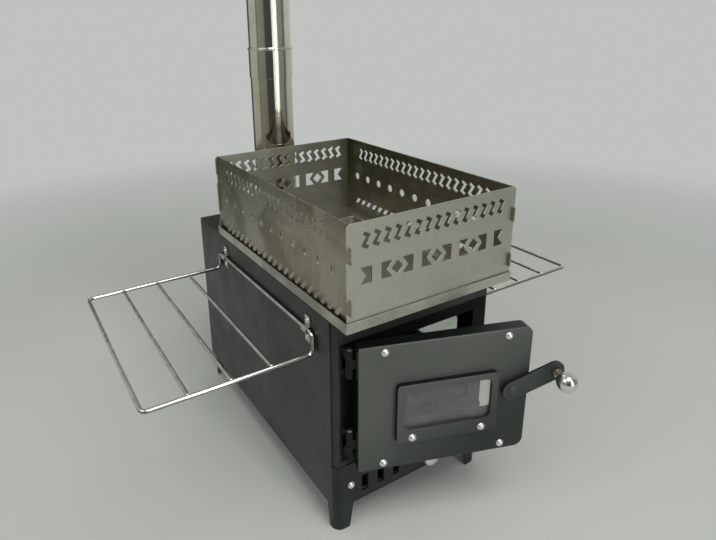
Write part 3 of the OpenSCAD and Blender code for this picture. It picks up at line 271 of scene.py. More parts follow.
def finish(tree, colour, roughness, height, depth, metallic=0.0, **fixed):
    """The shader of an opaque finish: varying colour and roughness, a bump from height, the rest fixed."""
    bump = node(tree, "Bump", {"Strength": 1.0, "Distance": depth, "Height": height}).outputs["Normal"]
    surface = node(tree, "BsdfPrincipled", {"Base Color": colour, "Roughness": roughness,
                                            "Metallic": metallic, "Normal": bump, **fixed})
    node(tree, "OutputMaterial", {"Surface": surface.outputs[0]})


def powder_coat(name, dark, dusty, grain, smooth, rough, wear_and_highlight, gloss=0.5, shaded=None):
    """Powder-coated sheet: two close tones in soft clouds, fine orange peel, and edges lighter from rubbing
    and a painted edge highlight. shaded may list masks of painted light or shade, each with the tone the coat
    has there."""
    made, tree, place = material(name)
    coat = use(tree, coat_grain, Vector=place, Size=grain)
    dust = use(tree, smudges, Vector=place, Size=9.0)["Mask"]
    rub_and_highlight = use(tree, edge_wear_and_highlight, Vector=place, Amount=wear_and_highlight)["Mask"]
    body = blend(tree, coat["Cloud"], dark, dusty)
    colour = blend(tree, rub_and_highlight, body, (0.16, 0.17, 0.16))
    for mask, tone in shaded(tree, place) if shaded else ():
        colour = blend(tree, mask, colour, tone)
    roughness = span(tree, dust, smooth, rough)
    finish(tree, colour, roughness, coat["Height"], 0.00010, **{"Specular IOR Level": gloss})
    return made


def finished_copy(name, edge=0.00030, soft=None, soft_edge=0.0):
    """A CAD solid's own surface: its loose triangles merged, coplanar ones made whole faces, its edges eased.
    Edges that soft() picks by their middles get a wider rolled rounding of soft_edge first."""
    sharp = math.radians(32.0)
    build = bmesh.new()
    build.from_mesh(frame["nodes"][name].data)
    bmesh.ops.remove_doubles(build, verts=build.verts, dist=2e-6)
    bmesh.ops.dissolve_limit(build, angle_limit=math.radians(0.5), verts=build.verts, edges=build.edges)
    if soft:
        folds = [e for e in build.edges if len(e.link_faces) == 2 and e.calc_face_angle(0) > math.radians(40)]
        middles = np.array([(e.verts[0].co + e.verts[1].co) / 2 for e in folds])
        rolled = [e for e, chosen in zip(folds, soft(middles)) if chosen]
        bmesh.ops.bevel(build, geom=rolled, offset=soft_edge, segments=4, profile=0.5, affect="EDGES",
                        clamp_overlap=True)
    mesh = bpy.data.meshes.new(name + "_surface")
    build.to_mesh(mesh)
    build.free()
    mesh.shade_smooth()
    mesh.set_sharp_from_angle(angle=sharp)
    piece = bpy.data.objects.new(name + "_surface", mesh)
    bpy.context.scene.collection.objects.link(piece)
    if edge:
        eased = piece.modifiers.new("eased_edges", "BEVEL")
        eased.width = edge
        eased.segments = 2
        eased.limit_method = "ANGLE"
        eased.angle_limit = sharp
        eased.harden_normals = True
    return piece


def fit_on(piece, look, *names):
    """Gives a piece its material and the body of the CAD nodes that it stands for."""
    piece.data.materials.clear()
    piece.data.materials.append(look)
    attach(piece, frame["nodes"][names[0]]["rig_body"])
    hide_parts(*names)


black_tones = (0.0095, 0.0130, 0.0110), (0.0190, 0.0230, 0.0200)
body_coat = powder_coat("body_black_coat", *black_tones, 1100.0, 0.34, 0.48, 0.5)
for name in ("rear_wall", "side_window_frame"):
    fit_on(finished_copy(name, 0.00035), body_coat, name)


def painted_shade_under_tray(tree, place):
    """Painted shade: the coat of the side walls is painted darker along the top, below the tray."""
    upward = node(tree, "SeparateXYZ", {"Vector": place}).outputs["Z"]
    ragged = noise(tree, place, 30.0, 4.0)
    line = node(tree, "Math", {0: ragged, 1: 0.024, 2: upward}, operation="MULTIPLY_ADD").outputs[0]
    return [(soft_step(tree, line, 0.232, 0.276, 0.9), (0.0028, 0.0036, 0.0032))]


# the side walls' coat carries the painted shade under the tray
wall_coat = powder_coat("wall_black_coat", *black_tones, 1100.0, 0.34, 0.48, 0.5, 0.5, painted_shade_under_tray)
for name in ("left_wall", "right_wall"):
    fit_on(finished_copy(name, 0.00035), wall_coat, name)
fit_on(finished_copy("top_plate", 0.0006), body_coat, "top_plate")

# The skirt's coat is a darker copy of the body's coat: painted shade below the open door.
shaded_skirt_coat = powder_coat("skirt_coat_painted_shade", (0.0045, 0.0085, 0.0062), (0.0095, 0.0145, 0.0118),
                       1100.0, 0.34, 0.48, 0.5, 0.38)
fit_on(finished_copy("front_skirt", 0.00035), shaded_skirt_coat, "front_skirt")


def painted_shade_by_door(tree, place):
    """Painted shade on the front frame, where the open door and the tray shade it: heavy round the door
    opening and on the latch side, and none on the rounded corner by the hinges."""
    middle_z, wider_than_high = 0.1695, 0.0265
    # soot holds the colour of the painted shade
    soot = (0.0026, 0.0040, 0.0034)
    along = node(tree, "SeparateXYZ", {"Vector": place}).outputs
    across = node(tree, "Math", {0: along["X"]}, operation="ABSOLUTE").outputs[0]
    upright = node(tree, "Math", {0: along["Z"], 1: middle_z}, operation="SUBTRACT").outputs[0]
    upright = node(tree, "Math", {0: upright}, operation="ABSOLUTE").outputs[0]
    upright = node(tree, "Math", {0: upright, 1: wider_than_high}, operation="ADD").outputs[0]
    reach = node(tree, "Math", {0: across, 1: upright}, operation="MAXIMUM").outputs[0]
    return [(soft_step(tree, reach, 0.1045, 0.0985), soot), (soft_step(tree, along["X"], 0.060, 0.090), soot)]


# The frame's base tones, paler than the body's, are painted light on the rounded corner by the hinges, which
# the masks leave bare.
painted_frame_coat = powder_coat("frame_coat_painted_light_and_shade", (0.0320, 0.0380, 0.0340), (0.0420, 0.0480, 0.0430),
                         1100.0, 0.48, 0.62, 0.3, 0.10, painted_shade_by_door)
fit_on(finished_copy("front_frame", 0.00035), painted_frame_coat, "front_frame")


# ---- Floor, grate and inner sheets ----
# Inside, the ash floor, grate rails, air slider, its guides and the door's heat shield are plain mild steel
# that carries mill scale, soot and a little rust. The grate is thicker and rough from the fire.

def sooty_steel(name, clean, soot, rust, depth):
    """Bare steel under soot: grey scale, black clouds and a few rusty specks."""
    made, tree, place = material(name)
    cloud = use(tree, smudges, Vector=place, Size=22.0)["Mask"]
    speck = noise(tree, place, 260.0, 5.0, 0.7)
    spots = node(tree, "MapRange", {"Value": speck, "From Min": 0.58, "From Max": 0.74}).outputs[0]
    colour = blend(tree, spots, blend(tree, cloud, clean, soot), rust)
    finish(tree, colour, span(tree, cloud, 0.55, 0.92), speck, depth)
    return made


inner_look = sooty_steel("sooty_sheet", (0.050, 0.049, 0.046), (0.012, 0.012, 0.012),
                         (0.055, 0.036, 0.024), 0.00015)
for name in ("floor_plate", "left_grate_rail", "right_grate_rail", "slider_guides", "air_slider",
             "door_liner"):
    fit_on(finished_copy(name), inner_look, name)
grate_look = sooty_steel("fire_grate_iron", (0.060, 0.058, 0.055), (0.020, 0.019, 0.018),
                         (0.080, 0.048, 0.030), 0.0005)
fit_on(finished_copy("fire_grate", 0.0007), grate_look, "fire_grate")


# ---- Feet ----
# Four short angles of 2 mm sheet with a rounded corner stand inside the body's corners and taper to the
# floor. They have the same coat, rubbed a little at the rims that touch the ground; their lighter edges are
# also a painted edge highlight.

foot_coat = powder_coat("foot_black_coat", (0.0055, 0.0110, 0.0085), (0.0115, 0.0190, 0.0155),
                        1100.0, 0.30, 0.46, 0.7, 0.42)
for name in ("foot_front_left", "foot_front_right", "foot_rear_left", "foot_rear_right"):
    fit_on(finished_copy(name, 0.0004), foot_coat, name)


# ---- Rivets ----
# Solid steel rivets with bright domed heads join the feet, the door's shield, both window frames and the
# straps. Each head is a turned dome with a thin rim, on a shank that goes through the sheets.

def around_z(radius, height, sides):
    """Points at (radius cos angle, radius sin angle, height): a row of them for each of the sides."""
    angle = np.linspace(0, 2 * np.pi, sides, endpoint=False)[:, None]
    grid = np.broadcast_arrays(radius * np.cos(angle), radius * np.sin(angle), height)
    return np.stack(grid, -1).reshape(-1, 3)


def turned(profile, sides, hollow=False):
    """Surface of revolution about Z: each (radius, height) of the profile goes once round. A hollow profile
    is a closed outline. Returns points and four-sided faces."""
    profile = np.asarray(profile, float)
    return around_z(profile[:, 0], profile[:, 1], sides), wrapped(sides, len(profile), True, hollow)


def wrapped(rows, columns, round_rows, round_columns):
    """Four-sided faces of a grid of rows by columns, closed on itself along rows or columns if asked."""
    row = np.arange(rows if round_rows else rows - 1)[:, None]
    column = np.arange(columns if round_columns else columns - 1)[None, :]
    next_row, next_column = (row + 1) % rows, (column + 1) % columns
    faces = np.stack([row * columns + column, next_row * columns + column,
                      next_row * columns + next_column, row * columns + next_column], -1)
    return faces.reshape(-1, 4)


def stood(shape, place, along):
    """A shape drawn along +Z, turned so that +Z points along the given direction and moved to its place."""
    points, faces = shape
    turn = np.array(Vector((0, 0, 1)).rotation_difference(Vector(along)).to_matrix())
    return points @ turn.T + np.asarray(place, float), faces


def made_of(name, shapes, sharp=38.0):
    """One mesh piece from several (points, faces) shapes: poles are closed and faces turned outwards."""
    starts = np.cumsum([0] + [len(points) for points, _ in shapes])
    points = np.concatenate([points for points, _ in shapes])
    faces = [tuple(face) for start, (_, quads) in zip(starts, shapes) for face in (quads + start).tolist()]
    mesh = bpy.data.meshes.new(name)
    mesh.from_pydata(points.tolist(), [], faces)
    build = bmesh.new()
    build.from_mesh(mesh)
    bmesh.ops.remove_doubles(build, verts=build.verts, dist=1e-7)
    bmesh.ops.dissolve_degenerate(build, edges=build.edges, dist=1e-8)
    bmesh.ops.recalc_face_normals(build, faces=build.faces)
    build.to_mesh(mesh)
    build.free()
    mesh.shade_smooth()
    mesh.set_sharp_from_angle(angle=math.radians(sharp))
    piece = bpy.data.objects.new(name, mesh)
    bpy.context.scene.collection.objects.link(piece)
    return piece


def rivet(head_d, head_h, shank_d, reach):
    """A rivet's profile: the axis, the dome as an arc through rim and top, a thin upright rim, the shank."""
    rim = 0.12 * head_h
    ball = (head_d ** 2 / 4 + (head_h - rim) ** 2) / (2 * (head_h - rim))
    sweep = np.linspace(0, math.asin(min(1.0, head_d / 2 / ball)), 10)
    dome = np.stack([ball * np.sin(sweep), head_h - ball + ball * np.cos(sweep)], 1)
    under = [(head_d / 2, 0.0), (shank_d / 2, 0.0), (shank_d / 2, -reach), (0.0, -reach)]
    return turned(np.concatenate([dome, under]), 32)


def shiny(name, base, low, high, stain, dirt=0.5):
    """Bright metal with faint stains that dull it in places."""
    made, tree, place = material(name)
    cloud = use(tree, smudges, Vector=place, Size=60.0)["Mask"]
    dull = times(tree, cloud, dirt)
    fine = noise(tree, place, 900.0, 2.0)
    finish(tree, blend(tree, dull, base, stain), span(tree, cloud, low, high), fine, 0.00003, 1.0)
    return made


millimetre = 0.001
rest_shift = -0.12697086  # where the body's front edge lies along Y in the stove's own frame, in metres


def at(x, y, z):
    """A place in millimetres from the body's front edge and the floor, in the stove's own frame."""
    return np.array([x * millimetre, y * millimetre + rest_shift, z * millimetre])


# head width, head height and shank width of the two rivet sizes, in metres
big, small = (0.009, 0.003, 0.004), (0.006, 0.002, 0.003)
rivet_look = shiny("bright_rivets", (0.86, 0.865, 0.85), 0.30, 0.44, (0.62, 0.62, 0.59))
foot_rivet_x, foot_rivet_z, rear_face = 89, 60, 378.5
heads = []
for side in (-1, 1):
    heads.append(stood(rivet(*big, 0.0037), at(side * foot_rivet_x, 0, foot_rivet_z), (0, -1, 0)))
    low_head = rivet(0.009, 0.0015, 0.004, 0.0037)
    heads.append(stood(low_head, at(side * foot_rivet_x, rear_face, foot_rivet_z), (0, 1, 0)))
fit_on(made_of("foot_rivet_heads", heads), rivet_look, "foot_rivets")

side_window_x = 116.5
heads = [stood(rivet(*small, 0.008), at(side_window_x, y, z), (1, 0, 0))
         for y in (43.5, 166.5) for z in (121.5, 196.5)]
fit_on(made_of("side_window_rivet_heads", heads), rivet_look, "side_window_rivets")


# ---- Hinges ----
# Two butt hinges: the body's leaf carries two knuckles, the door's leaf the middle one, and a steel pin with
# a domed head drops through all three. The leaves have the body's coat, painted darker as shade by the door.

# a darker copy of the body's coat: painted shade beside the open door
shaded_hinge_coat = powder_coat("hinge_coat_painted_shade", (0.0040, 0.0050, 0.0045), (0.0075, 0.0085, 0.0075),
                         1100.0, 0.48, 0.62, 0.3, 0.22)
for name in ("upper_hinge_leaf", "lower_hinge_leaf", "door_hinge_leaves"):
    fit_on(finished_copy(name, 0.0003), shaded_hinge_coat, name)
hinge_x, hinge_y, hinge_length = -96, -8, 32
pins = [stood(rivet(0.007, 0.0016, 0.004, 0.0335), at(hinge_x, hinge_y, z + hinge_length), (0, 0, 1))
        for z in (110, 208)]
pin_look = shiny("dark_pins", (0.16, 0.165, 0.16), 0.34, 0.50, (0.05, 0.05, 0.048))
fit_on(made_of("hinge_pin_heads", pins), pin_look, "hinge_pins")


# ---- Air slider's knob ----
# A turned steel button with a finely knurled rim stands in front of the skirt. Its stem runs through a slot
# to the slider behind, where it is riveted over.

def knurled(profile, sides, teeth, depth):
    """A turned shape whose radius dips by depth between teeth, where the profile's third number is 1."""
    profile = np.asarray(profile, float)
    angle = np.linspace(0, 2 * np.pi, sides, endpoint=False)[:, None]
    radius = profile[:, 0] - profile[:, 2] * depth * (0.5 - 0.5 * np.cos(teeth * angle))
    return around_z(radius, profile[:, 1], sides), wrapped(sides, len(profile), True, False)


button = np.array([
    (0, 12, 0), (8.0, 12, 0), (9.2, 11.6, 0), (10.4, 10.6, 0), (11, 9.6, 1), (11, 5.0, 1), (10.2, 4, 0),
    (3, 4, 0), (3, -1.8, 0), (2, -1.8, 0), (2, -3.0, 0), (0, -3.0, 0)]) * (millimetre, millimetre, 1)
knob = stood(knurled(button, 216, 36, 0.0005), at(21, 0, 53), (0, -1, 0))
fit_on(made_of("slider_button", [knob]), rivet_look, "slider_knob")


# ---- Door ----
# A shallow pan of 1.5 mm sheet with its edge folded back. The outer corners on the latch side are round.
# It is coated satin black, and four rivets hold the heat shield behind it at its distance.

door_turn = math.radians(18.8)
hinge_pin = at(hinge_x, hinge_y, 0)
door_face = -16.8


def opened(points):
    """Points of the shut door, swung open about the hinge pins to where the door stands."""
    flat = points - hinge_pin
    x = flat[:, 0] * math.cos(door_turn) + flat[:, 1] * math.sin(door_turn)
    y = flat[:, 1] * math.cos(door_turn) - flat[:, 0] * math.sin(door_turn)
    return np.stack([x, y, flat[:, 2]], 1) + hinge_pin


def shut(points):
    """The same turn backwards: points of the standing door as they are when it is shut."""
    flat = points - hinge_pin
    x = flat[:, 0] * math.cos(door_turn) - flat[:, 1] * math.sin(door_turn)
    y = flat[:, 1] * math.cos(door_turn) + flat[:, 0] * math.sin(door_turn)
    return np.stack([x, y, flat[:, 2]], 1) + hinge_pin


def at_door_rim(middles):
    """Edges in the plane of the door's face, on its outer outline."""
    p = (shut(middles) - at(0, 0, 0)) / millimetre
    in_face = np.abs(p[:, 1] - door_face) < 0.05
    window = (p[:, 0] > -44) & (p[:, 0] < 60) & (p[:, 2] > 140) & (p[:, 2] < 196)
    border = (p[:, 0] < -88) | (p[:, 0] > 91.5) | (p[:, 2] < 93) | (p[:, 2] > 243.5)
    return in_face & border & ~window


facing = (-math.sin(door_turn), -math.cos(door_turn), 0)
inward = (-facing[0], -facing[1], 0)


def door_place(x, y, z):
    """A place on the shut door, swung to where the door stands."""
    return opened(at(x, y, z)[None])[0]


def off_from(tree, place, start, way):
    """How far a place lies from start along the direction way, in metres."""
    off = node(tree, "VectorMath", {0: place, 1: tuple(start)}, operation="SUBTRACT").outputs["Vector"]
    return node(tree, "VectorMath", {0: off, 1: tuple(way)}, operation="DOT_PRODUCT").outputs["Value"]


def satin_coat(name, front):
    """The door's coat on a piece whose front plane stands at front (millimetres, with the door shut). It is
    paler towards the upper hinge corner, greener and darker away from it, and black on the sides behind that
    plane."""
    def tones(tree, place):
        behind = off_from(tree, place, door_place(0, front, 0), inward)
        sides = node(tree, "MapRange", {"Value": behind, "From Min": 0.0005, "From Max": 0.0014}).outputs[0]
        slant = (-0.55 * math.cos(door_turn), 0.55 * math.sin(door_turn), 0.83)
        higher = off_from(tree, place, door_place(0, door_face, 170), slant)
        lower = soft_step(tree, higher, 0.035, -0.095, 0.92)
        return [(lower, (0.010, 0.0165, 0.0135)), (sides, (0.0030, 0.0062, 0.0048))]
    return powder_coat(name, (0.070, 0.0775, 0.0700), (0.096, 0.1035, 0.0940),
                       900.0, 0.34, 0.45, 0.08, 0.32, tones)


door_coat = satin_coat("door_satin_coat", door_face)
fit_on(finished_copy("door_pan", 0.0003, at_door_rim, 0.0013), door_coat, "door_pan")
heads = []
for x in (-61.25, 74.25):
    for z in (100.5, 236.0):
        heads.append(stood(rivet(*big, 0.015), door_place(x, door_face, z), facing))
        tube = np.array([(3.5, 1.5), (3.5, 12.8), (2.05, 12.8), (2.05, 1.5)]) * millimetre
        heads.append(stood(turned(tube, 32, True), door_place(x, door_face, z), inward))
fit_on(made_of("door_rivet_heads", heads), rivet_look, "door_rivets")


# ---- Door window ----
# A pressed frame stands proud of the door and holds a pane of ceramic glass over a flat rope seal.
# Two rivets below the pane hold it. The glass is smoked by the fire.

window_face = -23.3


def at_frame_rim(middles):
    """Edges in the front plane of the raised window frame."""
    p = (shut(middles) - at(0, 0, 0)) / millimetre
    return np.abs(p[:, 1] - window_face) < 0.05


frame_coat = satin_coat("window_frame_coat", window_face)
fit_on(finished_copy("window_bezel", 0.0002, at_frame_rim, 0.0008), frame_coat, "window_bezel")


def smoked_glass(name, clear, smoke):
    """Heat-resistant glass: a clear pane with a thin brown-grey film of soot that is heavier in clouds."""
    made, tree, place = material(name)
    film = use(tree, smudges, Vector=place, Size=30.0)["Mask"]
    bump = node(tree, "Bump", {"Strength": 0.1, "Distance": 0.0005, "Height": noise(tree, place, 18.0, 1.0)})
    pane = node(tree, "BsdfPrincipled", {
        "Base Color": blend(tree, film, clear, smoke), "IOR": 1.5, "Metallic": 0.0,
        "Roughness": span(tree, film, 0.0, 0.035), "Transmission Weight": 0.94,
        "Normal": bump.outputs["Normal"]})
    node(tree, "OutputMaterial", {"Surface": pane.outputs[0]})
    return made


glass_look = smoked_glass("smoked_glass", (0.90, 0.93, 0.91), (0.74, 0.76, 0.72))
for name in ("door_glass", "side_window_glass"):
    fit_on(finished_copy(name, 0.0004), glass_look, name)

rope_look, tree, place = material("rope_seal")
twist = node(tree, "TexWave", {"Vector": place, "Scale": 420.0, "Distortion": 1.5, "Detail": 2.0},
             bands_direction="DIAGONAL")
grime = use(tree, smudges, Vector=place, Size=80.0)["Mask"]
finish(tree, blend(tree, grime, (0.045, 0.044, 0.041), (0.014, 0.014, 0.013)), span(tree, grime, 0.85, 0.98),
       twist.outputs["Fac"], 0.0004)
fit_on(finished_copy("glass_gasket", 0.0004), rope_look, "glass_gasket")

heads = [stood(rivet(*big, 0.008), door_place(x, window_face, 133), facing) for x in (-32, 46)]
fit_on(made_of("window_rivet_heads", heads), rivet_look, "window_rivets")


# ---- Latch ----
# A flat bar with round ends turns on a shoulder rivet, off the door by a spacer. At its end a threaded stem
# with two nuts, browned by heat, carries a polished ball. It drops into a hooked keeper on the right wall.

bar_face, bar_middle = -24.3, -20.8
latch_coat = satin_coat("latch_satin_coat", bar_face)
for name, edge in (("latch_spacer", 0.0004), ("latch_pivot", 0.0004), ("latch_arm", 0.0006)):
    fit_on(finished_copy(name, edge), latch_coat, name)
fit_on(finished_copy("latch_keeper", 0.0004), body_coat, "latch_keeper")

bar_raise = math.radians(19.3)
pivot_x, pivot_z, bar_length = 79.5, 172.5, 51.5
bar_end = door_place(pivot_x + bar_length * math.cos(bar_raise), bar_middle,
                     pivot_z + bar_length * math.sin(bar_raise))


def nut(across_flats, height, bore):
    """A hexagon nut on z = 0: the radius is half the width across flats over the cosine of the angle from the
    nearest flat's middle, cut back near both ends by a cone, with a plain bore."""
    sides = 96
    angle = np.linspace(0, 2 * np.pi, sides, endpoint=False)[:, None]
    flat = across_flats / 2 / np.cos((angle + np.pi / 6) % (np.pi / 3) - np.pi / 6)
    rise = np.array([0, 0, 0.10, 0.9, 1.0, 1.0]) * height
    cone = across_flats / 2 * np.array([0, 0.98, 1.16, 1.16, 0.98, 0])
    radius = np.where(cone > 0, np.minimum(flat, cone), bore)
    return around_z(radius, rise, sides), wrapped(sides, len(rise), True, True)


turns = np.arange(0, 12.01, 0.25)
thread = np.stack([np.where(np.arange(len(turns)) % 2, 2.6, 3.0), turns + 2.0], 1)
stem_line = np.concatenate([
    [(0, -2.4), (2.6, -2.4), (3.0, -2.0), (3.0, 1.9)], thread, [(2.6, 18.0), (0, 18.0)]])
outward = np.array(facing)
stem = [stood(turned(stem_line * millimetre, 40), bar_end, facing),
        stood(nut(0.0095, 0.005, 0.0028), bar_end + outward * 0.0035, facing),
        stood(nut(0.0095, 0.0023, 0.0028), bar_end - outward * 0.0024, facing)]
stem_look = shiny("browned_thread", (0.52, 0.47, 0.39), 0.24, 0.45, (0.19, 0.145, 0.105), 0.7)
fit_on(made_of("stem_and_nuts", stem, 25.0), stem_look, "knob_stem")

arc = np.linspace(0, np.pi, 49)
ball = np.stack([11 * np.sin(arc), 11 * np.cos(arc)], 1) * millimetre
ball[0, 0] = ball[-1, 0] = 0
ball_look = shiny("polished_ball", (0.74, 0.74, 0.735), 0.10, 0.18, (0.60, 0.59, 0.56), 0.4)
fit_on(made_of("knob_ball", [stood(turned(ball, 96), bar_end + outward * 0.024, facing)]), ball_look,
       "ball_knob")


# ---- Chimney ----
# A short coated collar holds the lower pipe. The pipes are polished 0.8 mm stainless tube, browned low down
# by heat. Each section's widened lower end slips over the one below as far as a rolled bead.

def tube_on(name, outline, sides, look, solid):
    """A round tube on the chimney's axis, turned from its closed outline of (radius, height) millimetres."""
    shape = stood(turned(np.array(outline) * millimetre, sides, True), at(0, 337, 0), (0, 0, 1))
    fit_on(made_of(name, [shape], 30.0), look, solid)


tube_on("flue_collar_rim", [
    (30.2, 263), (34.7, 263), (34.7, 267), (31.7, 267), (31.7, 281.5), (32.2, 282.2), (32.7, 283.2),
    (32.7, 284.2), (32.2, 285), (31.0, 285), (30.2, 284.4)], 128, body_coat, "flue_collar")


def polished_pipe(name):
    """Polished tube: fine upright polishing lines, faint hand marks, and brown and straw tints from heat that
    fade with height above the stove."""
    made, tree, place = material(name)
    stretched = node(tree, "Mapping", {"Vector": place, "Scale": (900.0, 900.0, 6.0)}).outputs["Vector"]
    lines = noise(tree, stretched, 1.0, 3.0)
    marks = use(tree, smudges, Vector=place, Size=26.0)["Mask"]
    wander = noise(tree, place, 16.0, 3.0)
    upward = node(tree, "SeparateXYZ", {"Vector": place}).outputs["Z"]
    uneven = node(tree, "Math", {0: wander, 1: 0.10, 2: upward}, operation="MULTIPLY_ADD").outputs[0]
    heat = node(tree, "MapRange", {"Value": uneven, "From Min": 0.30, "From Max": 0.60}).outputs[0]
    tint = ramp(tree, heat, [(0.0, (0.18, 0.13, 0.10)), (0.30, (0.41, 0.36, 0.24)),
                             (0.14, (0.24, 0.20, 0.22)), (0.62, (0.62, 0.61, 0.49)),
                             (1.0, (0.73, 0.74, 0.67))])
    colour = blend(tree, times(tree, marks, 0.35), tint, (0.46, 0.45, 0.41))
    finish(tree, colour, span(tree, marks, 0.06, 0.14), lines, 0.00003, 1.0)
    return made


pipe_look = polished_pipe("polished_pipe")
lower_wall = [(29.2, 263), (30, 263), (30, 512.8), (29.8, 513), (29.2, 513)]
tube_on("lower_pipe_tube", lower_wall, 160, pipe_look, "lower_pipe")
bead = np.linspace(-0.42 * np.pi, 0.47 * np.pi, 12)
bead_line = np.stack([30.4 + 1.8 * np.cos(bead), 515.2 + 1.8 * np.sin(bead)], 1)
upper_wall = np.concatenate([
    [(30.2, 475.0), (30.6, 474.9), (31.0, 475.3), (31.0, 512.6)], bead_line,
    [(30, 517.3), (30, 762.6), (29.8, 763), (29.4, 763), (29.2, 762.6), (29.2, 513.2), (30.2, 513.2)]])
tube_on("upper_pipe_tube", np.maximum(upper_wall, (29.2, 475.0)), 160, pipe_look, "upper_pipe")


# ---- Cooking tray ----
# One sheet of brushed stainless pressed to a shallow tray with a low rim, welded at its corners, and with a
# well that drops through the top plate. Its floor is dulled by grease and heat.

brush_lines, given, out = effect("brush_lines", [("Vector", "Vector", None)],
                                 [("Height", "Float"), ("Streak", "Float")])
brush_lines.links.new(noise(brush_lines, given["Vector"], 1.0, 2.0, 0.7), out.inputs["Height"])
brush_lines.links.new(noise(brush_lines, given["Vector"], 0.12, 3.0, 0.6), out.inputs["Streak"])


def brushed_steel(name, run, light, warm, stain, low, high, stained, heated=None):
    """Brushed stainless: hair lines along run, streaks of two close tones, stains that dull it, and a heated
    tint that grows backwards and upwards, towards the chimney."""
    made, tree, place = material(name)
    lines = node(tree, "Mapping", {"Vector": place, "Scale": run}).outputs["Vector"]
    brush = use(tree, brush_lines, Vector=lines)
    marks = use(tree, smudges, Vector=place, Size=14.0)["Mask"]
    dull = times(tree, marks, stained)
    rub_and_highlight = use(tree, edge_wear_and_highlight, Vector=place, Amount=0.9)["Mask"]
    sheet = blend(tree, dull, blend(tree, brush["Streak"], light, warm), stain)
    if heated:
        back_and_up = (0.0, 2.3, 5.5)
        nearer = node(tree, "VectorMath", {0: place, 1: back_and_up}, operation="DOT_PRODUCT").outputs[1]
        uneven = node(tree, "Math", {0: marks, 1: 0.30, 2: nearer}, operation="MULTIPLY_ADD").outputs[0]
        sheet = blend(tree, soft_step(tree, uneven, 1.50, 2.62, 0.95), sheet, heated)
    # lighter edges: rubbed wear and a painted edge highlight
    colour = blend(tree, rub_and_highlight, sheet, (0.74, 0.73, 0.68))
    finish(tree, colour, span(tree, marks, low, high), brush["Height"], 0.00006, 1.0)
    return made


along_x, along_y = (14.0, 1400.0, 1400.0), (1400.0, 14.0, 1400.0)
tray_look = brushed_steel("tray_brushed_steel", along_x, (0.58, 0.575, 0.53), (0.49, 0.48, 0.43),
                          (0.22, 0.20, 0.17), 0.30, 0.48, 0.55)
fit_on(finished_copy("cooking_tray", 0.0004), tray_look, "cooking_tray")


def weld_spot(place, half_width, rise):
    """A small weld: a low mound whose height falls as the square root of 1 minus the squared distance from
    its middle, with three faint rings, closed below by a flat base."""
    sides, steps = 24, 9
    tilt = np.linspace(0, np.pi / 2, steps)
    ring = 1 + 0.05 * np.cos(12 * tilt)
    radius = np.append(half_width * np.sin(tilt) * ring, 0)
    height = np.append(rise * np.cos(tilt), 0)
    return around_z(radius, height, sides) + np.asarray(place), wrapped(sides, steps + 1, True, False)


weld_look = shiny("bright_welds", (0.78, 0.77, 0.74), 0.22, 0.42, (0.50, 0.44, 0.34))
corner_x, corner_ys, rim_top = 108.2, (-23.4, 299.6), 270.25
spots = [weld_spot(at(side * corner_x, y, rim_top), 0.0011, 0.0009) for side in (-1, 1) for y in corner_ys]
welds = made_of("tray_corner_welds", spots)
welds.data.materials.append(weld_look)
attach(welds, "tray")


# ---- Grill box ----
# Four laser-cut panels of 1.5 mm brushed stainless: T-shaped ears of the long panels hook through notches of
# the short ones. The long sides are warmed to brown by heat, and the cut edges are bright, partly as a
# painted edge highlight.

short_look = brushed_steel("short_panel_steel", along_x, (0.54, 0.545, 0.475), (0.445, 0.45, 0.385),
                           (0.33, 0.32, 0.265), 0.33, 0.45, 0.25)
long_look = brushed_steel("long_panel_steel", along_y, (0.46, 0.43, 0.36), (0.36, 0.33, 0.265),
                          (0.28, 0.215, 0.155), 0.27, 0.40, 0.60, (0.115, 0.115, 0.075))
for name, look in (("grill_front_panel", short_look), ("grill_rear_panel", short_look),
                   ("grill_left_panel", long_look), ("grill_right_panel", long_look)):
    fit_on(finished_copy(name, 0.00022), look, name)


# ---- Side racks ----
# Each rack is one loop of 4.6 mm wire with its ends bent up to the hinge rod, and three cross wires welded
# between its front and rear sides. The wire is chrome plated. Zinc-plated straps hold the rod to the walls.

def swept(path, radius, sides, closed):
    """A round wire: at each station of the path a circle of the radius stands square to the path. The
    circle's starting direction is carried along without twist. A radius for each station is allowed."""
    path = np.asarray(path, float)
    ahead = np.roll(path, -1, 0) - np.roll(path, 1, 0) if closed else np.gradient(path, axis=0)
    ahead /= np.linalg.norm(ahead, axis=1, keepdims=True)
    side = np.empty_like(path)
    side[0] = np.cross(ahead[0], (0.31, 0.83, 0.46))
    for n in range(1, len(path)):
        side[n] = side[n - 1]
        side[n] -= ahead[n] * side[n].dot(ahead[n])
    side -= ahead * np.sum(side * ahead, 1, keepdims=True)
    side /= np.linalg.norm(side, axis=1, keepdims=True)
    other = np.cross(ahead, side)
    radius = np.broadcast_to(radius, len(path))[:, None, None]
    angle = np.linspace(0, 2 * np.pi, sides, endpoint=False)[None, :, None]
    points = path[:, None] + radius * (side[:, None] * np.cos(angle) + other[:, None] * np.sin(angle))
    return points.reshape(-1, 3), wrapped(len(path), sides, closed, True)


def bent(corners, bend):
    """A closed path through the corners, where each corner is an arc of the bend radius."""
    corners = np.asarray(corners, float)
    t = np.linspace(0, np.pi / 2, 9)[:, None]
    parts = []
    for before, corner, after in zip(np.roll(corners, 1, 0), corners, np.roll(corners, -1, 0)):
        a = (before - corner) / np.linalg.norm(before - corner)
        b = (after - corner) / np.linalg.norm(after - corner)
        parts.append(corner + bend * ((1 - np.sin(t)) * a + (1 - np.cos(t)) * b))
    return np.concatenate(parts)


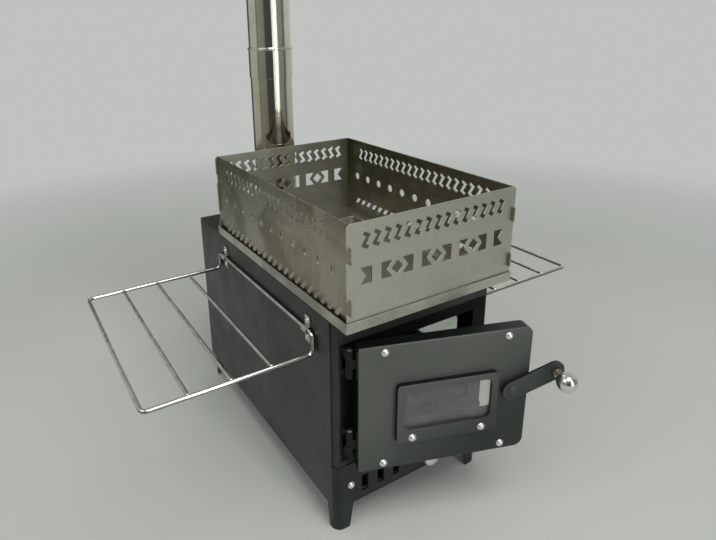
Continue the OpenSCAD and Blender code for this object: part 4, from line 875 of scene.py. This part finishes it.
# the plating stays bright on top of the wires and is dull below, where steam and dust settle unwiped
chrome, tree, place = material("plated_wire")
cloud = use(tree, smudges, Vector=place, Size=60.0)["Mask"]
drawn = noise(tree, place, 700.0, 3.0)
upright = node(tree, "SeparateXYZ", {"Vector": node(tree, "TexCoord").outputs["Normal"]}).outputs["Z"]
bright = blend(tree, cloud, (0.84, 0.845, 0.82), (0.60, 0.59, 0.54))
plated = blend(tree, soft_step(tree, upright, 0.66, 0.28, 0.68), bright, (0.10, 0.10, 0.09))
finish(tree, plated, span(tree, cloud, 0.07, 0.18), drawn, 0.00003, 1.0)
clip_look = shiny("zinc_straps", (0.62, 0.615, 0.57), 0.26, 0.44, (0.40, 0.37, 0.31), 0.8)
rod_x, rod_z, plane_z, outer_x, front_y, rear_y, wire = 112.7, 240.0, 217.0, 294.0, 36.0, 300.0, 0.0023
cross_places = (249.5, 205.0, 160.5)
near_zero = 1e-5
for side, hand in ((-1, "left"), (1, "right")):
    loop = [at(side * x, y, z) for x, y, z in (
        (rod_x, front_y, rod_z), (rod_x, rear_y, rod_z), (rod_x, rear_y, plane_z),
        (outer_x, rear_y, plane_z), (outer_x, front_y, plane_z), (rod_x, front_y, plane_z))]
    rack_loop = swept(bent(loop, 0.007), wire, 20, True)
    fit_on(made_of(hand + "_rack_wire", [rack_loop]), chrome, hand + "_rack_frame")
    bars = []
    for x in cross_places:
        y = np.concatenate([[front_y + 1.2] * 2, np.linspace(front_y + 1.6, rear_y - 1.6, 12),
                            [rear_y - 1.2] * 2])
        line = np.stack([np.full(len(y), side * x), y, np.full(len(y), plane_z)], 1) * millimetre
        line += (0, rest_shift, 0)
        line[0, 1] -= near_zero
        line[-1, 1] += near_zero
        thick = np.full(len(y), wire * 0.9)
        thick[[0, -1]] = near_zero
        bars.append(swept(line, thick, 16, False))
    fit_on(made_of(hand + "_cross_wires", bars), chrome, hand + "_rack_bars")
    arc = np.linspace(0, np.pi, 9)
    blob = np.stack([0.0027 * np.sin(arc), 0.0014 * np.cos(arc)], 1)
    blob[[0, -1], 0] = 0
    mounds = [stood(turned(blob, 16), at(side * x, y, plane_z), (0, 1, 0))
              for x in cross_places for y in (front_y + 1.7, rear_y - 1.7)]
    welds = made_of(hand + "_rack_welds", mounds)
    welds.data.materials.append(chrome)
    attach(welds, hand + "_rack")
    fit_on(finished_copy(hand + "_rack_straps", 0.00025), clip_look, hand + "_rack_straps")

strap_x, strap_rivet_rise = 111.25, 9.8
heads = [stood(rivet(*small, 0.00275), at(side * strap_x, y, rod_z + up * strap_rivet_rise), (side, 0, 0))
         for side in (-1, 1) for y in (50, 280) for up in (-1, 1)]
fit_on(made_of("strap_rivet_heads", heads), rivet_look, "strap_rivets")
